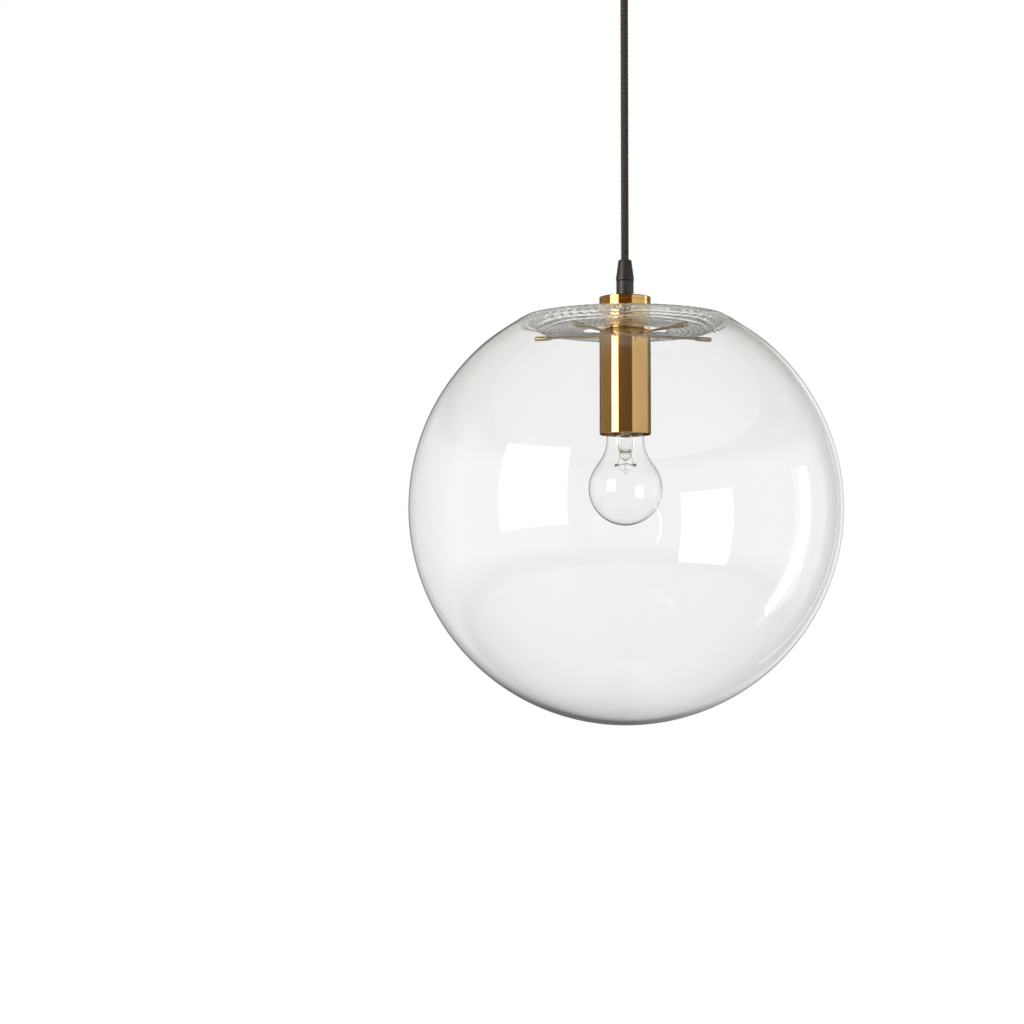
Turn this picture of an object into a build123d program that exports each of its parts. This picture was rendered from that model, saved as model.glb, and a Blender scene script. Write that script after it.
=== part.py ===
from build123d import *

import os
from math import atan2, cos, radians, sin, sqrt

os.makedirs("parts", exist_ok=True)

# ---------------------------------------------------------------------------
# Driving dimensions, in millimetres. The origin is on the ceiling plane, at the
# middle of the mounting bracket. +Z points up into the ceiling.
# ---------------------------------------------------------------------------

GAP = 0.3                    # clearance between pieces that move past each other

# Glass globe
GLOBE_R = 175.0              # outside radius of the sphere
GLOBE_WALL = 2.5
GLOBE_CENTRE_Z = -485.0
CREST_R = 80.0               # where the sphere turns in to the pressed-in top
DISH_R = 68.0                # edge of the flat floor of the dish
NECK_R = 34.0                # open neck in the dish floor

# Tube, cap and arms, heights above the globe's centre
TUBE_R = 20.75
TUBE_WALL = 1.0
TUBE_BOTTOM_Z = 59.3
CAP_TOP_Z = 171.0
CAP_THICKNESS = 3.4
CAP_GROOVE = 0.5
CAP_SPIGOT_LENGTH = 7.0
ARM_Z = 140.7
ARM_COUNT = 5
ARM_FIRST_ANGLE = -50.0
ARM_PIVOT_R = 18.9
ARM_REACH = 76.5
ARM_ROD_R = 1.1
ARM_EYE_R = 1.5
ARM_EYE_WIDTH = 2.2
ARM_TIP_R = 2.1
ARM_TIP_LENGTH = 14.5
ARM_TIP_BORE_DEPTH = 6.0
DISH_FLOOR_Z = ARM_Z + ARM_TIP_R + GAP    # underside of the dish floor, which rests on the arms
PIN_R = 0.6
PIN_LENGTH = 6.4
PIN_PLAY = 0.03
SLOT_WIDTH = 2.8
SLOT_BELOW = 1.6
SLOT_ABOVE = 18.4

# Cord and its grips
CORD_R = 2.95
CORD_BOTTOM_Z = 174.0        # above the globe's centre
CORD_TOP_Z = -8.0            # below the ceiling
GRIP_BODY_R = 7.0
GRIP_BODY_TOP_Z = 184.2
GRIP_NUT_R = 7.3
GRIP_NUT_TOP_R = 5.25
GRIP_NUT_TOP_Z = 201.6
ROD_R = 5.0
ROD_BORE_R = 2.6
CORE_R = 1.0                 # insulated conductor

# Lampholder, heights above the globe's centre
HOLDER_R = 18.6
HOLDER_BOTTOM_Z = 63.5
HOLDER_TOP_Z = 119.0
HOLDER_CORE_Z = 93.5
HOLDER_COVER_Z = 103.0
SHELL_BORE_R = 13.45
SHELL_CREST_R = 14.1
THREAD_PITCH = 3.62

# Bulb
BULB_R = 29.7
BULB_CENTRE_Z = 15.4
BULB_WALL = 0.8
BULB_NECK_R = 14.9
BULB_CAP_R = 13.15
BULB_CAP_ROOT_R = 12.45
BULB_CAP_RIM_Z = 65.5
BULB_CAP_TOP_Z = 87.0
BULB_CONTACT_Z = 91.5

# Ceiling fittings, heights below the ceiling plane
CANOPY_R = 55.0
CANOPY_HEIGHT = 30.0
CANOPY_WALL = 1.0
CANOPY_TOP_GAP = 0.6
BRACKET_LENGTH = 100.0
BRACKET_WIDTH = 24.0
BRACKET_SHEET = 1.5
BRACKET_EAR = 22.0
CEILING_SLOT_SPACING = 70.0
CEILING_SLOT_LENGTH = 11.0
CEILING_SLOT_WIDTH = 5.0
SIDE_SCREW_Z = -15.0
SIDE_SCREW_R = 2.0


def above_centre(height):
    """Height above the globe's centre, as a height in the part's own frame."""
    return GLOBE_CENTRE_Z + height


# ---------------------------------------------------------------------------
# Repeated shapes
# ---------------------------------------------------------------------------

def make_ring(outer_r, inner_r, bottom, top):
    """Upright sleeve, or a plain disc where inner_r is 0."""
    with BuildPart() as ring:
        with BuildSketch(Plane.XY.offset(bottom)):
            Circle(outer_r)
            if inner_r > 0:
                Circle(inner_r, mode=Mode.SUBTRACT)
        extrude(amount=top - bottom)
    return ring.part


def make_lock_nut(bore_r, across_flats, bottom, thickness):
    """Thin hexagon nut about the vertical axis, with chamfered corners."""
    with BuildPart() as nut:
        with BuildSketch(Plane.XY.offset(bottom)):
            RegularPolygon(across_flats / 2, 6, major_radius=False)
            Circle(bore_r, mode=Mode.SUBTRACT)
        extrude(amount=thickness)
        chamfer(nut.edges().filter_by(GeomType.LINE).filter_by(Axis.Z), 0.4)
    return nut.part


def make_grip_nut(base, tip, bore_r):
    """Tapered clamp nut of a cord grip, from its wide end at base to its rounded end at tip."""
    direction = 1 if tip > base else -1
    band = 2.0 * direction
    rounding = 1.6
    with BuildPart() as nut:
        with BuildSketch(Plane.XZ):
            with BuildLine():
                Polyline(
                    (bore_r, base),
                    (GRIP_NUT_R, base),
                    (GRIP_NUT_R, base + band),
                    (GRIP_NUT_TOP_R, tip),
                    (bore_r, tip),
                    close=True,
                )
            make_face()
        revolve(axis=Axis.Z)
        end_edges = nut.edges().filter_by(GeomType.CIRCLE).group_by(Axis.Z)[-1 if direction > 0 else 0]
        fillet(end_edges.sort_by(SortBy.RADIUS)[-1], rounding)
    return nut.part


def make_lead(points, bends):
    """Insulated conductor swept along straight runs joined by arcs."""
    with BuildPart() as lead:
        with BuildLine() as path:
            FilletPolyline(*points, radius=bends)
        with BuildSketch(Plane(origin=path.line @ 0, z_dir=path.line % 0)):
            Circle(CORE_R)
        sweep()
    return lead.part


def make_screw(origin, direction, shank_r, length, head_r, head_height):
    """Pan-head machine screw: the head's underside is at origin, the shank runs along direction."""
    seat = Plane(origin=origin, z_dir=direction)
    driver_width = head_r * 0.28
    driver_depth = head_height * 0.5
    with BuildPart() as screw:
        with BuildSketch(seat):
            Circle(shank_r)
        extrude(amount=length)
        with BuildSketch(seat):
            Circle(head_r)
        extrude(amount=-head_height)
        with BuildSketch(seat.offset(-head_height)):
            Rectangle(head_r * 2.2, driver_width)
        extrude(amount=driver_depth, mode=Mode.SUBTRACT)
    return screw.part


# ---------------------------------------------------------------------------
# Glass globe: a sphere whose top is pressed in to a flat dish with an open neck
# ---------------------------------------------------------------------------

floor_top = DISH_FLOOR_Z + GLOBE_WALL
globe_inner_r = GLOBE_R - GLOBE_WALL
crest_z = sqrt(GLOBE_R**2 - CREST_R**2)

# Unit vector down the sloping side of the dish, and its offset to the inside face
slope_run = CREST_R - DISH_R
slope_drop = crest_z - floor_top
slope_length = sqrt(slope_run**2 + slope_drop**2)
slope_x = -slope_run / slope_length
slope_z = -slope_drop / slope_length
inner_start_x = CREST_R - slope_z * GLOBE_WALL
inner_start_z = crest_z + slope_x * GLOBE_WALL
inner_foot_x = inner_start_x + slope_x * (inner_start_z - DISH_FLOOR_Z) / -slope_z

# Where the inside face of the slope meets the inside of the sphere
half_b = inner_start_x * slope_x + inner_start_z * slope_z
beyond = inner_start_x**2 + inner_start_z**2 - globe_inner_r**2
to_sphere = -half_b - sqrt(half_b**2 - beyond)
inner_crest_x = inner_start_x + slope_x * to_sphere
inner_crest_z = inner_start_z + slope_z * to_sphere

crest_fillet = 6.0
dish_fillet = 14.0
rim_fillet = 1.1

with BuildPart() as globe:
    with BuildSketch(Plane.XZ) as globe_section:
        with BuildLine():
            ThreePointArc(
                (0, above_centre(-GLOBE_R)),
                (GLOBE_R, above_centre(0)),
                (CREST_R, above_centre(crest_z)),
            )
            Polyline(
                (CREST_R, above_centre(crest_z)),
                (DISH_R, above_centre(floor_top)),
                (NECK_R, above_centre(floor_top)),
                (NECK_R, above_centre(DISH_FLOOR_Z)),
                (inner_foot_x, above_centre(DISH_FLOOR_Z)),
                (inner_crest_x, above_centre(inner_crest_z)),
            )
            ThreePointArc(
                (inner_crest_x, above_centre(inner_crest_z)),
                (globe_inner_r, above_centre(0)),
                (0, above_centre(-globe_inner_r)),
            )
            Line((0, above_centre(-globe_inner_r)), (0, above_centre(-GLOBE_R)))
        make_face()
        rim_corners = globe_section.vertices().filter_by(lambda v: abs(v.X - NECK_R) < 0.01)
        fillet(rim_corners, rim_fillet)
        foot_corners = globe_section.vertices().filter_by(
            lambda v: min(abs(v.X - DISH_R), abs(v.X - inner_foot_x)) < 0.01
        )
        fillet(foot_corners, dish_fillet)
        crest_corners = globe_section.vertices().filter_by(
            lambda v: min(abs(v.X - CREST_R), abs(v.X - inner_crest_x)) < 0.01
        )
        fillet(crest_corners, crest_fillet)
    revolve(axis=Axis.Z)
globe.part.label = "globe"
export_step(globe.part, "parts/globe.step")

# ---------------------------------------------------------------------------
# Tube and top cap
# ---------------------------------------------------------------------------

tube_top = CAP_TOP_Z - CAP_THICKNESS - CAP_GROOVE
tube_bore_r = TUBE_R - TUBE_WALL
slot_height = SLOT_BELOW + SLOT_ABOVE
slot_middle_z = above_centre(ARM_Z) + (SLOT_ABOVE - SLOT_BELOW) / 2
lip_r = 0.45

with BuildPart() as body_tube:
    with BuildSketch(Plane.XY.offset(above_centre(TUBE_BOTTOM_Z))):
        Circle(TUBE_R)
        Circle(tube_bore_r, mode=Mode.SUBTRACT)
    extrude(amount=tube_top - TUBE_BOTTOM_Z)
    fillet(body_tube.edges().group_by(Axis.Z)[0], lip_r)
    with PolarLocations(TUBE_R, ARM_COUNT, start_angle=ARM_FIRST_ANGLE):
        with Locations((0, 0, slot_middle_z)):
            Box(8.0, SLOT_WIDTH, slot_height, mode=Mode.SUBTRACT)
body_tube.part.label = "body_tube"
export_step(body_tube.part, "parts/body_tube.step")

with BuildPart() as top_cap:
    with BuildSketch(Plane.XY.offset(above_centre(tube_top - CAP_SPIGOT_LENGTH))):
        Circle(tube_bore_r)
        Circle(tube_bore_r - 2.0, mode=Mode.SUBTRACT)
    extrude(amount=CAP_SPIGOT_LENGTH)
    with BuildSketch(Plane.XY.offset(above_centre(tube_top))):
        Circle(tube_bore_r)
    extrude(amount=CAP_GROOVE)
    with BuildSketch(Plane.XY.offset(above_centre(tube_top + CAP_GROOVE))):
        Circle(TUBE_R)
    extrude(amount=CAP_THICKNESS)
    fillet(top_cap.edges().group_by(Axis.Z)[-1], 0.6)
    with BuildSketch(Plane.XY.offset(above_centre(tube_top))):
        Circle(ROD_R)
    extrude(amount=CAP_THICKNESS + CAP_GROOVE, mode=Mode.SUBTRACT)
top_cap.part.label = "top_cap"
export_step(top_cap.part, "parts/top_cap.step")

# ---------------------------------------------------------------------------
# Hollow threaded rod, the nuts on it and the cord grip at its top
# ---------------------------------------------------------------------------

rod_bottom = 109.0

threaded_rod = make_ring(ROD_R, ROD_BORE_R, above_centre(rod_bottom), above_centre(CORD_BOTTOM_Z))
threaded_rod.label = "threaded_rod"
export_step(threaded_rod, "parts/threaded_rod.step")

cap_lock_nut = make_lock_nut(ROD_R, 14.0, above_centre(tube_top - 3.0), 3.0)
cap_lock_nut.label = "cap_lock_nut"
export_step(cap_lock_nut, "parts/cap_lock_nut.step")

with BuildPart() as cord_grip_body:
    with BuildSketch(Plane.XY.offset(above_centre(CAP_TOP_Z))):
        Circle(GRIP_BODY_R)
        Circle(CORD_R, mode=Mode.SUBTRACT)
    extrude(amount=GRIP_BODY_TOP_Z - CAP_TOP_Z)
    with BuildSketch(Plane.XY.offset(above_centre(CAP_TOP_Z))):
        Circle(ROD_R)
    extrude(amount=CORD_BOTTOM_Z - CAP_TOP_Z, mode=Mode.SUBTRACT)
cord_grip_body.part.label = "cord_grip_body"
export_step(cord_grip_body.part, "parts/cord_grip_body.step")

cord_grip_nut = make_grip_nut(above_centre(GRIP_BODY_TOP_Z), above_centre(GRIP_NUT_TOP_Z), CORD_R)
cord_grip_nut.label = "cord_grip_nut"
export_step(cord_grip_nut, "parts/cord_grip_nut.step")

# ---------------------------------------------------------------------------
# Arm hub with five clevis slots, the pins in it, and the five folding arms
# ---------------------------------------------------------------------------

hub_r = 19.75
hub_half_height = 3.0
clevis_depth_r = 16.5

with BuildPart() as arm_hub:
    with BuildSketch(Plane.XY.offset(above_centre(ARM_Z - hub_half_height))):
        Circle(hub_r)
        Circle(ROD_R, mode=Mode.SUBTRACT)
    extrude(amount=2 * hub_half_height)
    with PolarLocations(clevis_depth_r + 4.0, ARM_COUNT, start_angle=ARM_FIRST_ANGLE):
        with Locations((0, 0, above_centre(ARM_Z))):
            Box(8.0, SLOT_WIDTH, 4 * hub_half_height, mode=Mode.SUBTRACT)
    with PolarLocations(ARM_PIVOT_R, ARM_COUNT, start_angle=ARM_FIRST_ANGLE):
        with Locations((0, 0, above_centre(ARM_Z))):
            Cylinder(PIN_R, PIN_LENGTH, rotation=(90, 0, 0), mode=Mode.SUBTRACT)
arm_hub.part.label = "arm_hub"
export_step(arm_hub.part, "parts/arm_hub.step")

with BuildPart() as arm_pivot_pins:
    with PolarLocations(ARM_PIVOT_R, ARM_COUNT, start_angle=ARM_FIRST_ANGLE):
        with Locations((0, 0, above_centre(ARM_Z))):
            Cylinder(PIN_R, PIN_LENGTH, rotation=(90, 0, 0))
arm_pivot_pins.part.label = "arm_pivot_pins"
export_step(arm_pivot_pins.part, "parts/arm_pivot_pins.step")

hub_lock_nut = make_lock_nut(ROD_R, 14.0, above_centre(ARM_Z - hub_half_height - 3.0), 3.0)
hub_lock_nut.label = "hub_lock_nut"
export_step(hub_lock_nut, "parts/hub_lock_nut.step")


def make_arm_rod(angle):
    """Round rod with a flat pivot eye at its inner end and a thinner spigot for its end piece."""
    outward = (cos(radians(angle)), sin(radians(angle)), 0)
    sideways = (-outward[1], outward[0], 0)
    pivot = (ARM_PIVOT_R * outward[0], ARM_PIVOT_R * outward[1], above_centre(ARM_Z))
    tip_start = ARM_REACH - ARM_TIP_LENGTH
    eye_plane = Plane(origin=pivot, x_dir=outward, z_dir=sideways)
    rod_start = 0.9
    with BuildPart() as arm_rod:
        with BuildSketch(Plane(origin=pivot, z_dir=outward).offset(rod_start)):
            Circle(ARM_ROD_R)
        extrude(amount=tip_start + ARM_TIP_BORE_DEPTH - ARM_PIVOT_R - rod_start)
        with BuildSketch(eye_plane):
            Circle(ARM_EYE_R)
        extrude(amount=ARM_EYE_WIDTH / 2, both=True)
        with BuildSketch(eye_plane):
            Circle(PIN_R + PIN_PLAY)
        extrude(amount=ARM_EYE_WIDTH, both=True, mode=Mode.SUBTRACT)
    return arm_rod.part


def make_arm_tip(angle):
    """Round-ended capsule with a blind bore that fits over the rod's end."""
    outward = (cos(radians(angle)), sin(radians(angle)), 0)
    tip_start = ARM_REACH - ARM_TIP_LENGTH
    start = (tip_start * outward[0], tip_start * outward[1], above_centre(ARM_Z))
    seat = Plane(origin=start, z_dir=outward)
    with BuildPart() as arm_tip:
        with BuildSketch(seat):
            Circle(ARM_TIP_R)
        extrude(amount=ARM_TIP_LENGTH)
        ends = arm_tip.edges().filter_by(GeomType.CIRCLE)
        fillet(ends, ARM_TIP_R * 0.92)
        with BuildSketch(seat):
            Circle(ARM_ROD_R)
        extrude(amount=ARM_TIP_BORE_DEPTH, mode=Mode.SUBTRACT)
    return arm_tip.part


for index in range(ARM_COUNT):
    arm_angle = ARM_FIRST_ANGLE + index * 360.0 / ARM_COUNT
    rod_part = make_arm_rod(arm_angle)
    rod_part.label = f"arm_rod_{index + 1}"
    export_step(rod_part, f"parts/arm_rod_{index + 1}.step")
    tip_part = make_arm_tip(arm_angle)
    tip_part.label = f"arm_tip_{index + 1}"
    export_step(tip_part, f"parts/arm_tip_{index + 1}.step")

# ---------------------------------------------------------------------------
# Lampholder: cover, core with contacts, sleeve and screw shell
# ---------------------------------------------------------------------------

cover_wall = 1.6
entry_r = 8.0
lead_hole_r = 1.3
terminal_r = 10.0
contact_r = 4.0

with BuildPart() as lampholder_cover:
    with BuildSketch(Plane.XZ):
        with BuildLine():
            Polyline(
                (ROD_R, above_centre(HOLDER_TOP_Z)),
                (entry_r, above_centre(HOLDER_TOP_Z)),
                (entry_r, above_centre(HOLDER_TOP_Z - 6.0)),
                (HOLDER_R, above_centre(HOLDER_TOP_Z - 9.0)),
                (HOLDER_R, above_centre(HOLDER_COVER_Z)),
                (HOLDER_R - cover_wall, above_centre(HOLDER_COVER_Z)),
                (HOLDER_R - cover_wall, above_centre(HOLDER_TOP_Z - 10.5)),
                (ROD_R, above_centre(HOLDER_TOP_Z - 9.0)),
                close=True,
            )
        make_face()
    revolve(axis=Axis.Z)
lampholder_cover.part.label = "lampholder_cover"
export_step(lampholder_cover.part, "parts/lampholder_cover.step")

lead_angles = [ARM_FIRST_ANGLE, ARM_FIRST_ANGLE + 120.0, ARM_FIRST_ANGLE + 240.0]
terminal_angles = lead_angles[:2]
core_top_z = 101.0

with BuildPart() as lampholder_core:
    with BuildSketch(Plane.XY.offset(above_centre(HOLDER_CORE_Z))):
        Circle(HOLDER_R - 0.1)
    extrude(amount=core_top_z - HOLDER_CORE_Z)
    with BuildSketch(Plane.XY.offset(above_centre(HOLDER_CORE_Z))):
        Circle(contact_r)
        with PolarLocations(terminal_r, 2, start_angle=ARM_FIRST_ANGLE, angular_range=240.0):
            Circle(1.5)
    extrude(amount=core_top_z - HOLDER_CORE_Z, mode=Mode.SUBTRACT)
lampholder_core.part.label = "lampholder_core"
export_step(lampholder_core.part, "parts/lampholder_core.step")

with BuildPart() as lampholder_contact:
    with BuildSketch(Plane.XY.offset(above_centre(BULB_CONTACT_Z + GAP))):
        Circle(contact_r - 0.6)
    extrude(amount=HOLDER_CORE_Z - BULB_CONTACT_Z - GAP)
    with BuildSketch(Plane.XY.offset(above_centre(HOLDER_CORE_Z))):
        Circle(contact_r)
    extrude(amount=core_top_z - HOLDER_CORE_Z - 2.0)
lampholder_contact.part.label = "lampholder_contact"
export_step(lampholder_contact.part, "parts/lampholder_contact.step")

terminal_screws_list = []
for angle in terminal_angles:
    place = (terminal_r * cos(radians(angle)), terminal_r * sin(radians(angle)), above_centre(core_top_z))
    terminal_screws_list.append(make_screw(place, (0, 0, -1), 1.5, 6.0, 2.6, 1.6))
lampholder_screws = Compound(children=terminal_screws_list)
lampholder_screws.label = "lampholder_screws"
export_step(lampholder_screws, "parts/lampholder_screws.step")

sleeve_bore_r = SHELL_CREST_R + 0.5

with BuildPart() as lampholder_sleeve:
    with BuildSketch(Plane.XY.offset(above_centre(HOLDER_BOTTOM_Z))):
        Circle(HOLDER_R)
        Circle(sleeve_bore_r, mode=Mode.SUBTRACT)
    extrude(amount=HOLDER_CORE_Z - HOLDER_BOTTOM_Z)
    with BuildSketch(Plane.XY.offset(above_centre(HOLDER_BOTTOM_Z))):
        Circle(HOLDER_R)
        Circle(HOLDER_R - 0.6, mode=Mode.SUBTRACT)
    extrude(amount=2.0, mode=Mode.SUBTRACT)
lampholder_sleeve.part.label = "lampholder_sleeve"
export_step(lampholder_sleeve.part, "parts/lampholder_sleeve.step")


def thread_profile(root_r, crest_r, bottom, top):
    """Points of a wavy screw profile that runs up from bottom to top, rounded by straight flanks."""
    points = []
    turns = int((top - bottom) / THREAD_PITCH)
    for turn in range(turns):
        foot = bottom + turn * THREAD_PITCH
        points.append((root_r, foot))
        points.append((crest_r, foot + THREAD_PITCH * 0.35))
        points.append((crest_r, foot + THREAD_PITCH * 0.65))
    points.append((root_r, bottom + turns * THREAD_PITCH))
    return points


shell_wall = 0.4
shell_bottom = HOLDER_BOTTOM_Z + 3.5
shell_top = HOLDER_CORE_Z - 2.0
shell_outline = thread_profile(SHELL_BORE_R, SHELL_CREST_R, shell_bottom, shell_top)
shell_end_z = shell_outline[-1][1]

with BuildPart() as screw_shell:
    with BuildSketch(Plane.XZ):
        with BuildLine():
            inside = [(r, above_centre(z)) for r, z in shell_outline]
            outside = [(r + shell_wall, above_centre(z)) for r, z in reversed(shell_outline)]
            Polyline(*inside, *outside, close=True)
        make_face()
    revolve(axis=Axis.Z)
    with BuildSketch(Plane.XY.offset(above_centre(shell_end_z))):
        Circle(SHELL_BORE_R + shell_wall)
        Circle(SHELL_BORE_R, mode=Mode.SUBTRACT)
    extrude(amount=HOLDER_CORE_Z - shell_end_z)
screw_shell.part.label = "screw_shell"
export_step(screw_shell.part, "parts/screw_shell.step")

# Leads in the threaded rod, fanned out to the lampholder's terminals
lead_circle_r = 1.4
lead_names = ["lamp_lead_live", "lamp_lead_neutral", "lamp_lead_earth"]
terminal_end = (terminal_r - 4.4, core_top_z + CORE_R)
cover_end = (HOLDER_R - 3.0, HOLDER_COVER_Z + CORE_R)
lead_ends = [terminal_end, terminal_end, cover_end]
for lead_name, lead_angle, lead_end in zip(lead_names, lead_angles, lead_ends):
    across = cos(radians(lead_angle))
    along = sin(radians(lead_angle))
    end_r, end_z = lead_end
    lead_part = make_lead(
        [
            (lead_circle_r * across, lead_circle_r * along, above_centre(CORD_BOTTOM_Z)),
            (lead_circle_r * across, lead_circle_r * along, above_centre(rod_bottom - 1.0)),
            (end_r * across, end_r * along, above_centre(end_z)),
        ],
        2.5,
    )
    lead_part.label = lead_name
    export_step(lead_part, f"parts/{lead_name}.step")

# ---------------------------------------------------------------------------
# Bulb
# ---------------------------------------------------------------------------

shoulder_x = 27.6
shoulder_z = BULB_CENTRE_Z + sqrt(BULB_R**2 - shoulder_x**2)
bulb_throat_z = BULB_CAP_RIM_Z + 0.3
bulb_neck_top_z = 72.0
bulb_throat_r = BULB_CAP_ROOT_R - 0.5


def add_bulb_outline(inset):
    """Outline of the bulb's glass from its lowest point up to the neck, moved in by inset."""
    ball_r = BULB_R - inset
    shoulder_angle = atan2(shoulder_z - BULB_CENTRE_Z, shoulder_x)
    shoulder = (ball_r * cos(shoulder_angle), above_centre(BULB_CENTRE_Z + ball_r * sin(shoulder_angle)))
    ThreePointArc(
        (0, above_centre(BULB_CENTRE_Z - ball_r)),
        (ball_r * cos(-shoulder_angle), above_centre(BULB_CENTRE_Z - ball_r * sin(shoulder_angle))),
        shoulder,
    )
    Spline(
        shoulder,
        (BULB_NECK_R - inset, above_centre(TUBE_BOTTOM_Z - 1.0)),
        (bulb_throat_r - inset, above_centre(bulb_throat_z)),
        tangents=[(-sin(shoulder_angle), cos(shoulder_angle)), (-0.2, 1)],
    )
    Line(
        (bulb_throat_r - inset, above_centre(bulb_throat_z)),
        (bulb_throat_r - inset, above_centre(bulb_neck_top_z)),
    )


with BuildPart() as bulb_glass:
    with BuildSketch(Plane.XZ):
        with BuildLine():
            add_bulb_outline(0)
            add_bulb_outline(BULB_WALL)
            Line(
                (bulb_throat_r - BULB_WALL, above_centre(bulb_neck_top_z)),
                (bulb_throat_r, above_centre(bulb_neck_top_z)),
            )
            Line(
                (0, above_centre(BULB_CENTRE_Z - BULB_R)),
                (0, above_centre(BULB_CENTRE_Z - BULB_R + BULB_WALL)),
            )
        make_face()
    revolve(axis=Axis.Z)
bulb_glass.part.label = "bulb_glass"
export_step(bulb_glass.part, "parts/bulb_glass.step")

cap_wall = 0.35
skirt_height = 2.5
cap_outline = thread_profile(BULB_CAP_ROOT_R, BULB_CAP_R, BULB_CAP_RIM_Z + 4.0, BULB_CAP_TOP_Z)
cap_shoulder_r = 8.0

with BuildPart() as bulb_cap:
    with BuildSketch(Plane.XZ):
        with BuildLine():
            skirt = [
                (BULB_CAP_R, above_centre(BULB_CAP_RIM_Z)),
                (BULB_CAP_ROOT_R, above_centre(BULB_CAP_RIM_Z + skirt_height)),
            ]
            outside = skirt + [(r, above_centre(z)) for r, z in cap_outline]
            inside = [(r - cap_wall, z) for r, z in reversed(outside)]
            top = [
                (cap_shoulder_r, above_centre(BULB_CAP_TOP_Z)),
                (cap_shoulder_r, above_centre(BULB_CAP_TOP_Z - cap_wall)),
            ]
            Polyline(*outside, *top, *inside, close=True)
        make_face()
    revolve(axis=Axis.Z)
bulb_cap.part.label = "bulb_cap"
export_step(bulb_cap.part, "parts/bulb_cap.step")

with BuildPart() as bulb_insulator:
    with BuildSketch(Plane.XY.offset(above_centre(BULB_CAP_TOP_Z))):
        Circle(cap_shoulder_r)
    extrude(amount=BULB_CONTACT_Z - BULB_CAP_TOP_Z - 1.0, taper=35)
bulb_insulator.part.label = "bulb_insulator"
export_step(bulb_insulator.part, "parts/bulb_insulator.step")

with BuildPart() as bulb_contact:
    with BuildSketch(Plane.XY.offset(above_centre(BULB_CONTACT_Z - 1.0))):
        Circle(4.6)
    extrude(amount=1.0)
    fillet(bulb_contact.edges().group_by(Axis.Z)[-1], 0.6)
bulb_contact.part.label = "bulb_contact"
export_step(bulb_contact.part, "parts/bulb_contact.step")

stem_bottom = 44.0
stem_press_r = 3.2
stem_tube_r = 5.6
stem_flare_r = bulb_throat_r - BULB_WALL - 0.2

with BuildPart() as bulb_stem:
    with BuildSketch(Plane.XZ):
        with BuildLine():
            Polyline(
                (0, above_centre(stem_bottom)),
                (stem_press_r, above_centre(stem_bottom)),
                (stem_press_r + 0.6, above_centre(stem_bottom + 6.0)),
                (stem_tube_r, above_centre(stem_bottom + 11.0)),
                (stem_tube_r, above_centre(bulb_neck_top_z - 8.0)),
                (stem_flare_r, above_centre(bulb_neck_top_z - 1.0)),
                (stem_flare_r, above_centre(bulb_neck_top_z)),
                (0, above_centre(bulb_neck_top_z)),
                close=True,
            )
        make_face()
    revolve(axis=Axis.Z)
bulb_stem.part.label = "bulb_stem"
export_step(bulb_stem.part, "parts/bulb_stem.step")

filament_z = 28.0
filament_r = 9.0
wire_r = 0.35
wire_foot_r = 1.8
wire_list = []
for side in (-1, 1):
    with BuildPart() as wire:
        with BuildLine() as wire_path:
            Line(
                (side * wire_foot_r, 0, above_centre(stem_bottom - wire_r)),
                (side * filament_r, 0, above_centre(filament_z)),
            )
        with BuildSketch(Plane(origin=wire_path.line @ 0, z_dir=wire_path.line % 0)):
            Circle(wire_r)
        sweep()
    wire_list.append(wire.part)
bulb_wires = Compound(children=wire_list)
bulb_wires.label = "bulb_wires"
export_step(bulb_wires, "parts/bulb_wires.step")

with BuildPart() as bulb_filament:
    with BuildLine() as filament_path:
        RadiusArc(
            (-filament_r, 0, above_centre(filament_z - 0.8)),
            (filament_r, 0, above_centre(filament_z - 0.8)),
            filament_r * 2,
        )
    with BuildSketch(Plane(origin=filament_path.line @ 0, z_dir=filament_path.line % 0)):
        Circle(wire_r + 0.1)
    sweep()
bulb_filament.part.label = "bulb_filament"
export_step(bulb_filament.part, "parts/bulb_filament.step")

# ---------------------------------------------------------------------------
# Textile cord, straight from its grip on the lamp to its anchor at the ceiling
# ---------------------------------------------------------------------------

textile_cord = make_ring(CORD_R, 0, above_centre(CORD_BOTTOM_Z), CORD_TOP_Z)
textile_cord.label = "textile_cord"
export_step(textile_cord, "parts/textile_cord.step")

# ---------------------------------------------------------------------------
# Ceiling fittings
# ---------------------------------------------------------------------------

half_length = BRACKET_LENGTH / 2
ear_slot_width = 2 * SIDE_SCREW_R + 2 * GAP
sheet_under = -BRACKET_SHEET
earth_screw_x = -19.0

with BuildPart() as mounting_bracket:
    with Locations((0, 0, sheet_under / 2)):
        Box(BRACKET_LENGTH, BRACKET_WIDTH, BRACKET_SHEET)
    for side in (-1, 1):
        with Locations((side * (half_length - BRACKET_SHEET / 2), 0, -BRACKET_EAR / 2)):
            Box(BRACKET_SHEET, BRACKET_WIDTH, BRACKET_EAR)
    with BuildSketch(Plane.XY):
        with Locations((-CEILING_SLOT_SPACING / 2, 0), (CEILING_SLOT_SPACING / 2, 0)):
            SlotOverall(CEILING_SLOT_LENGTH, CEILING_SLOT_WIDTH)
    extrude(amount=-BRACKET_SHEET, mode=Mode.SUBTRACT)
    with BuildSketch(Plane.YZ.offset(-half_length)):
        with Locations((0, SIDE_SCREW_Z)):
            Circle(ear_slot_width / 2)
        with Locations((0, (SIDE_SCREW_Z - BRACKET_EAR) / 2)):
            Rectangle(ear_slot_width, BRACKET_EAR + SIDE_SCREW_Z)
    extrude(amount=BRACKET_LENGTH, mode=Mode.SUBTRACT)
    with Locations((earth_screw_x, 0, sheet_under / 2)):
        Cylinder(2.0, BRACKET_SHEET, mode=Mode.SUBTRACT)
mounting_bracket.part.label = "mounting_bracket"
export_step(mounting_bracket.part, "parts/mounting_bracket.step")

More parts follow.
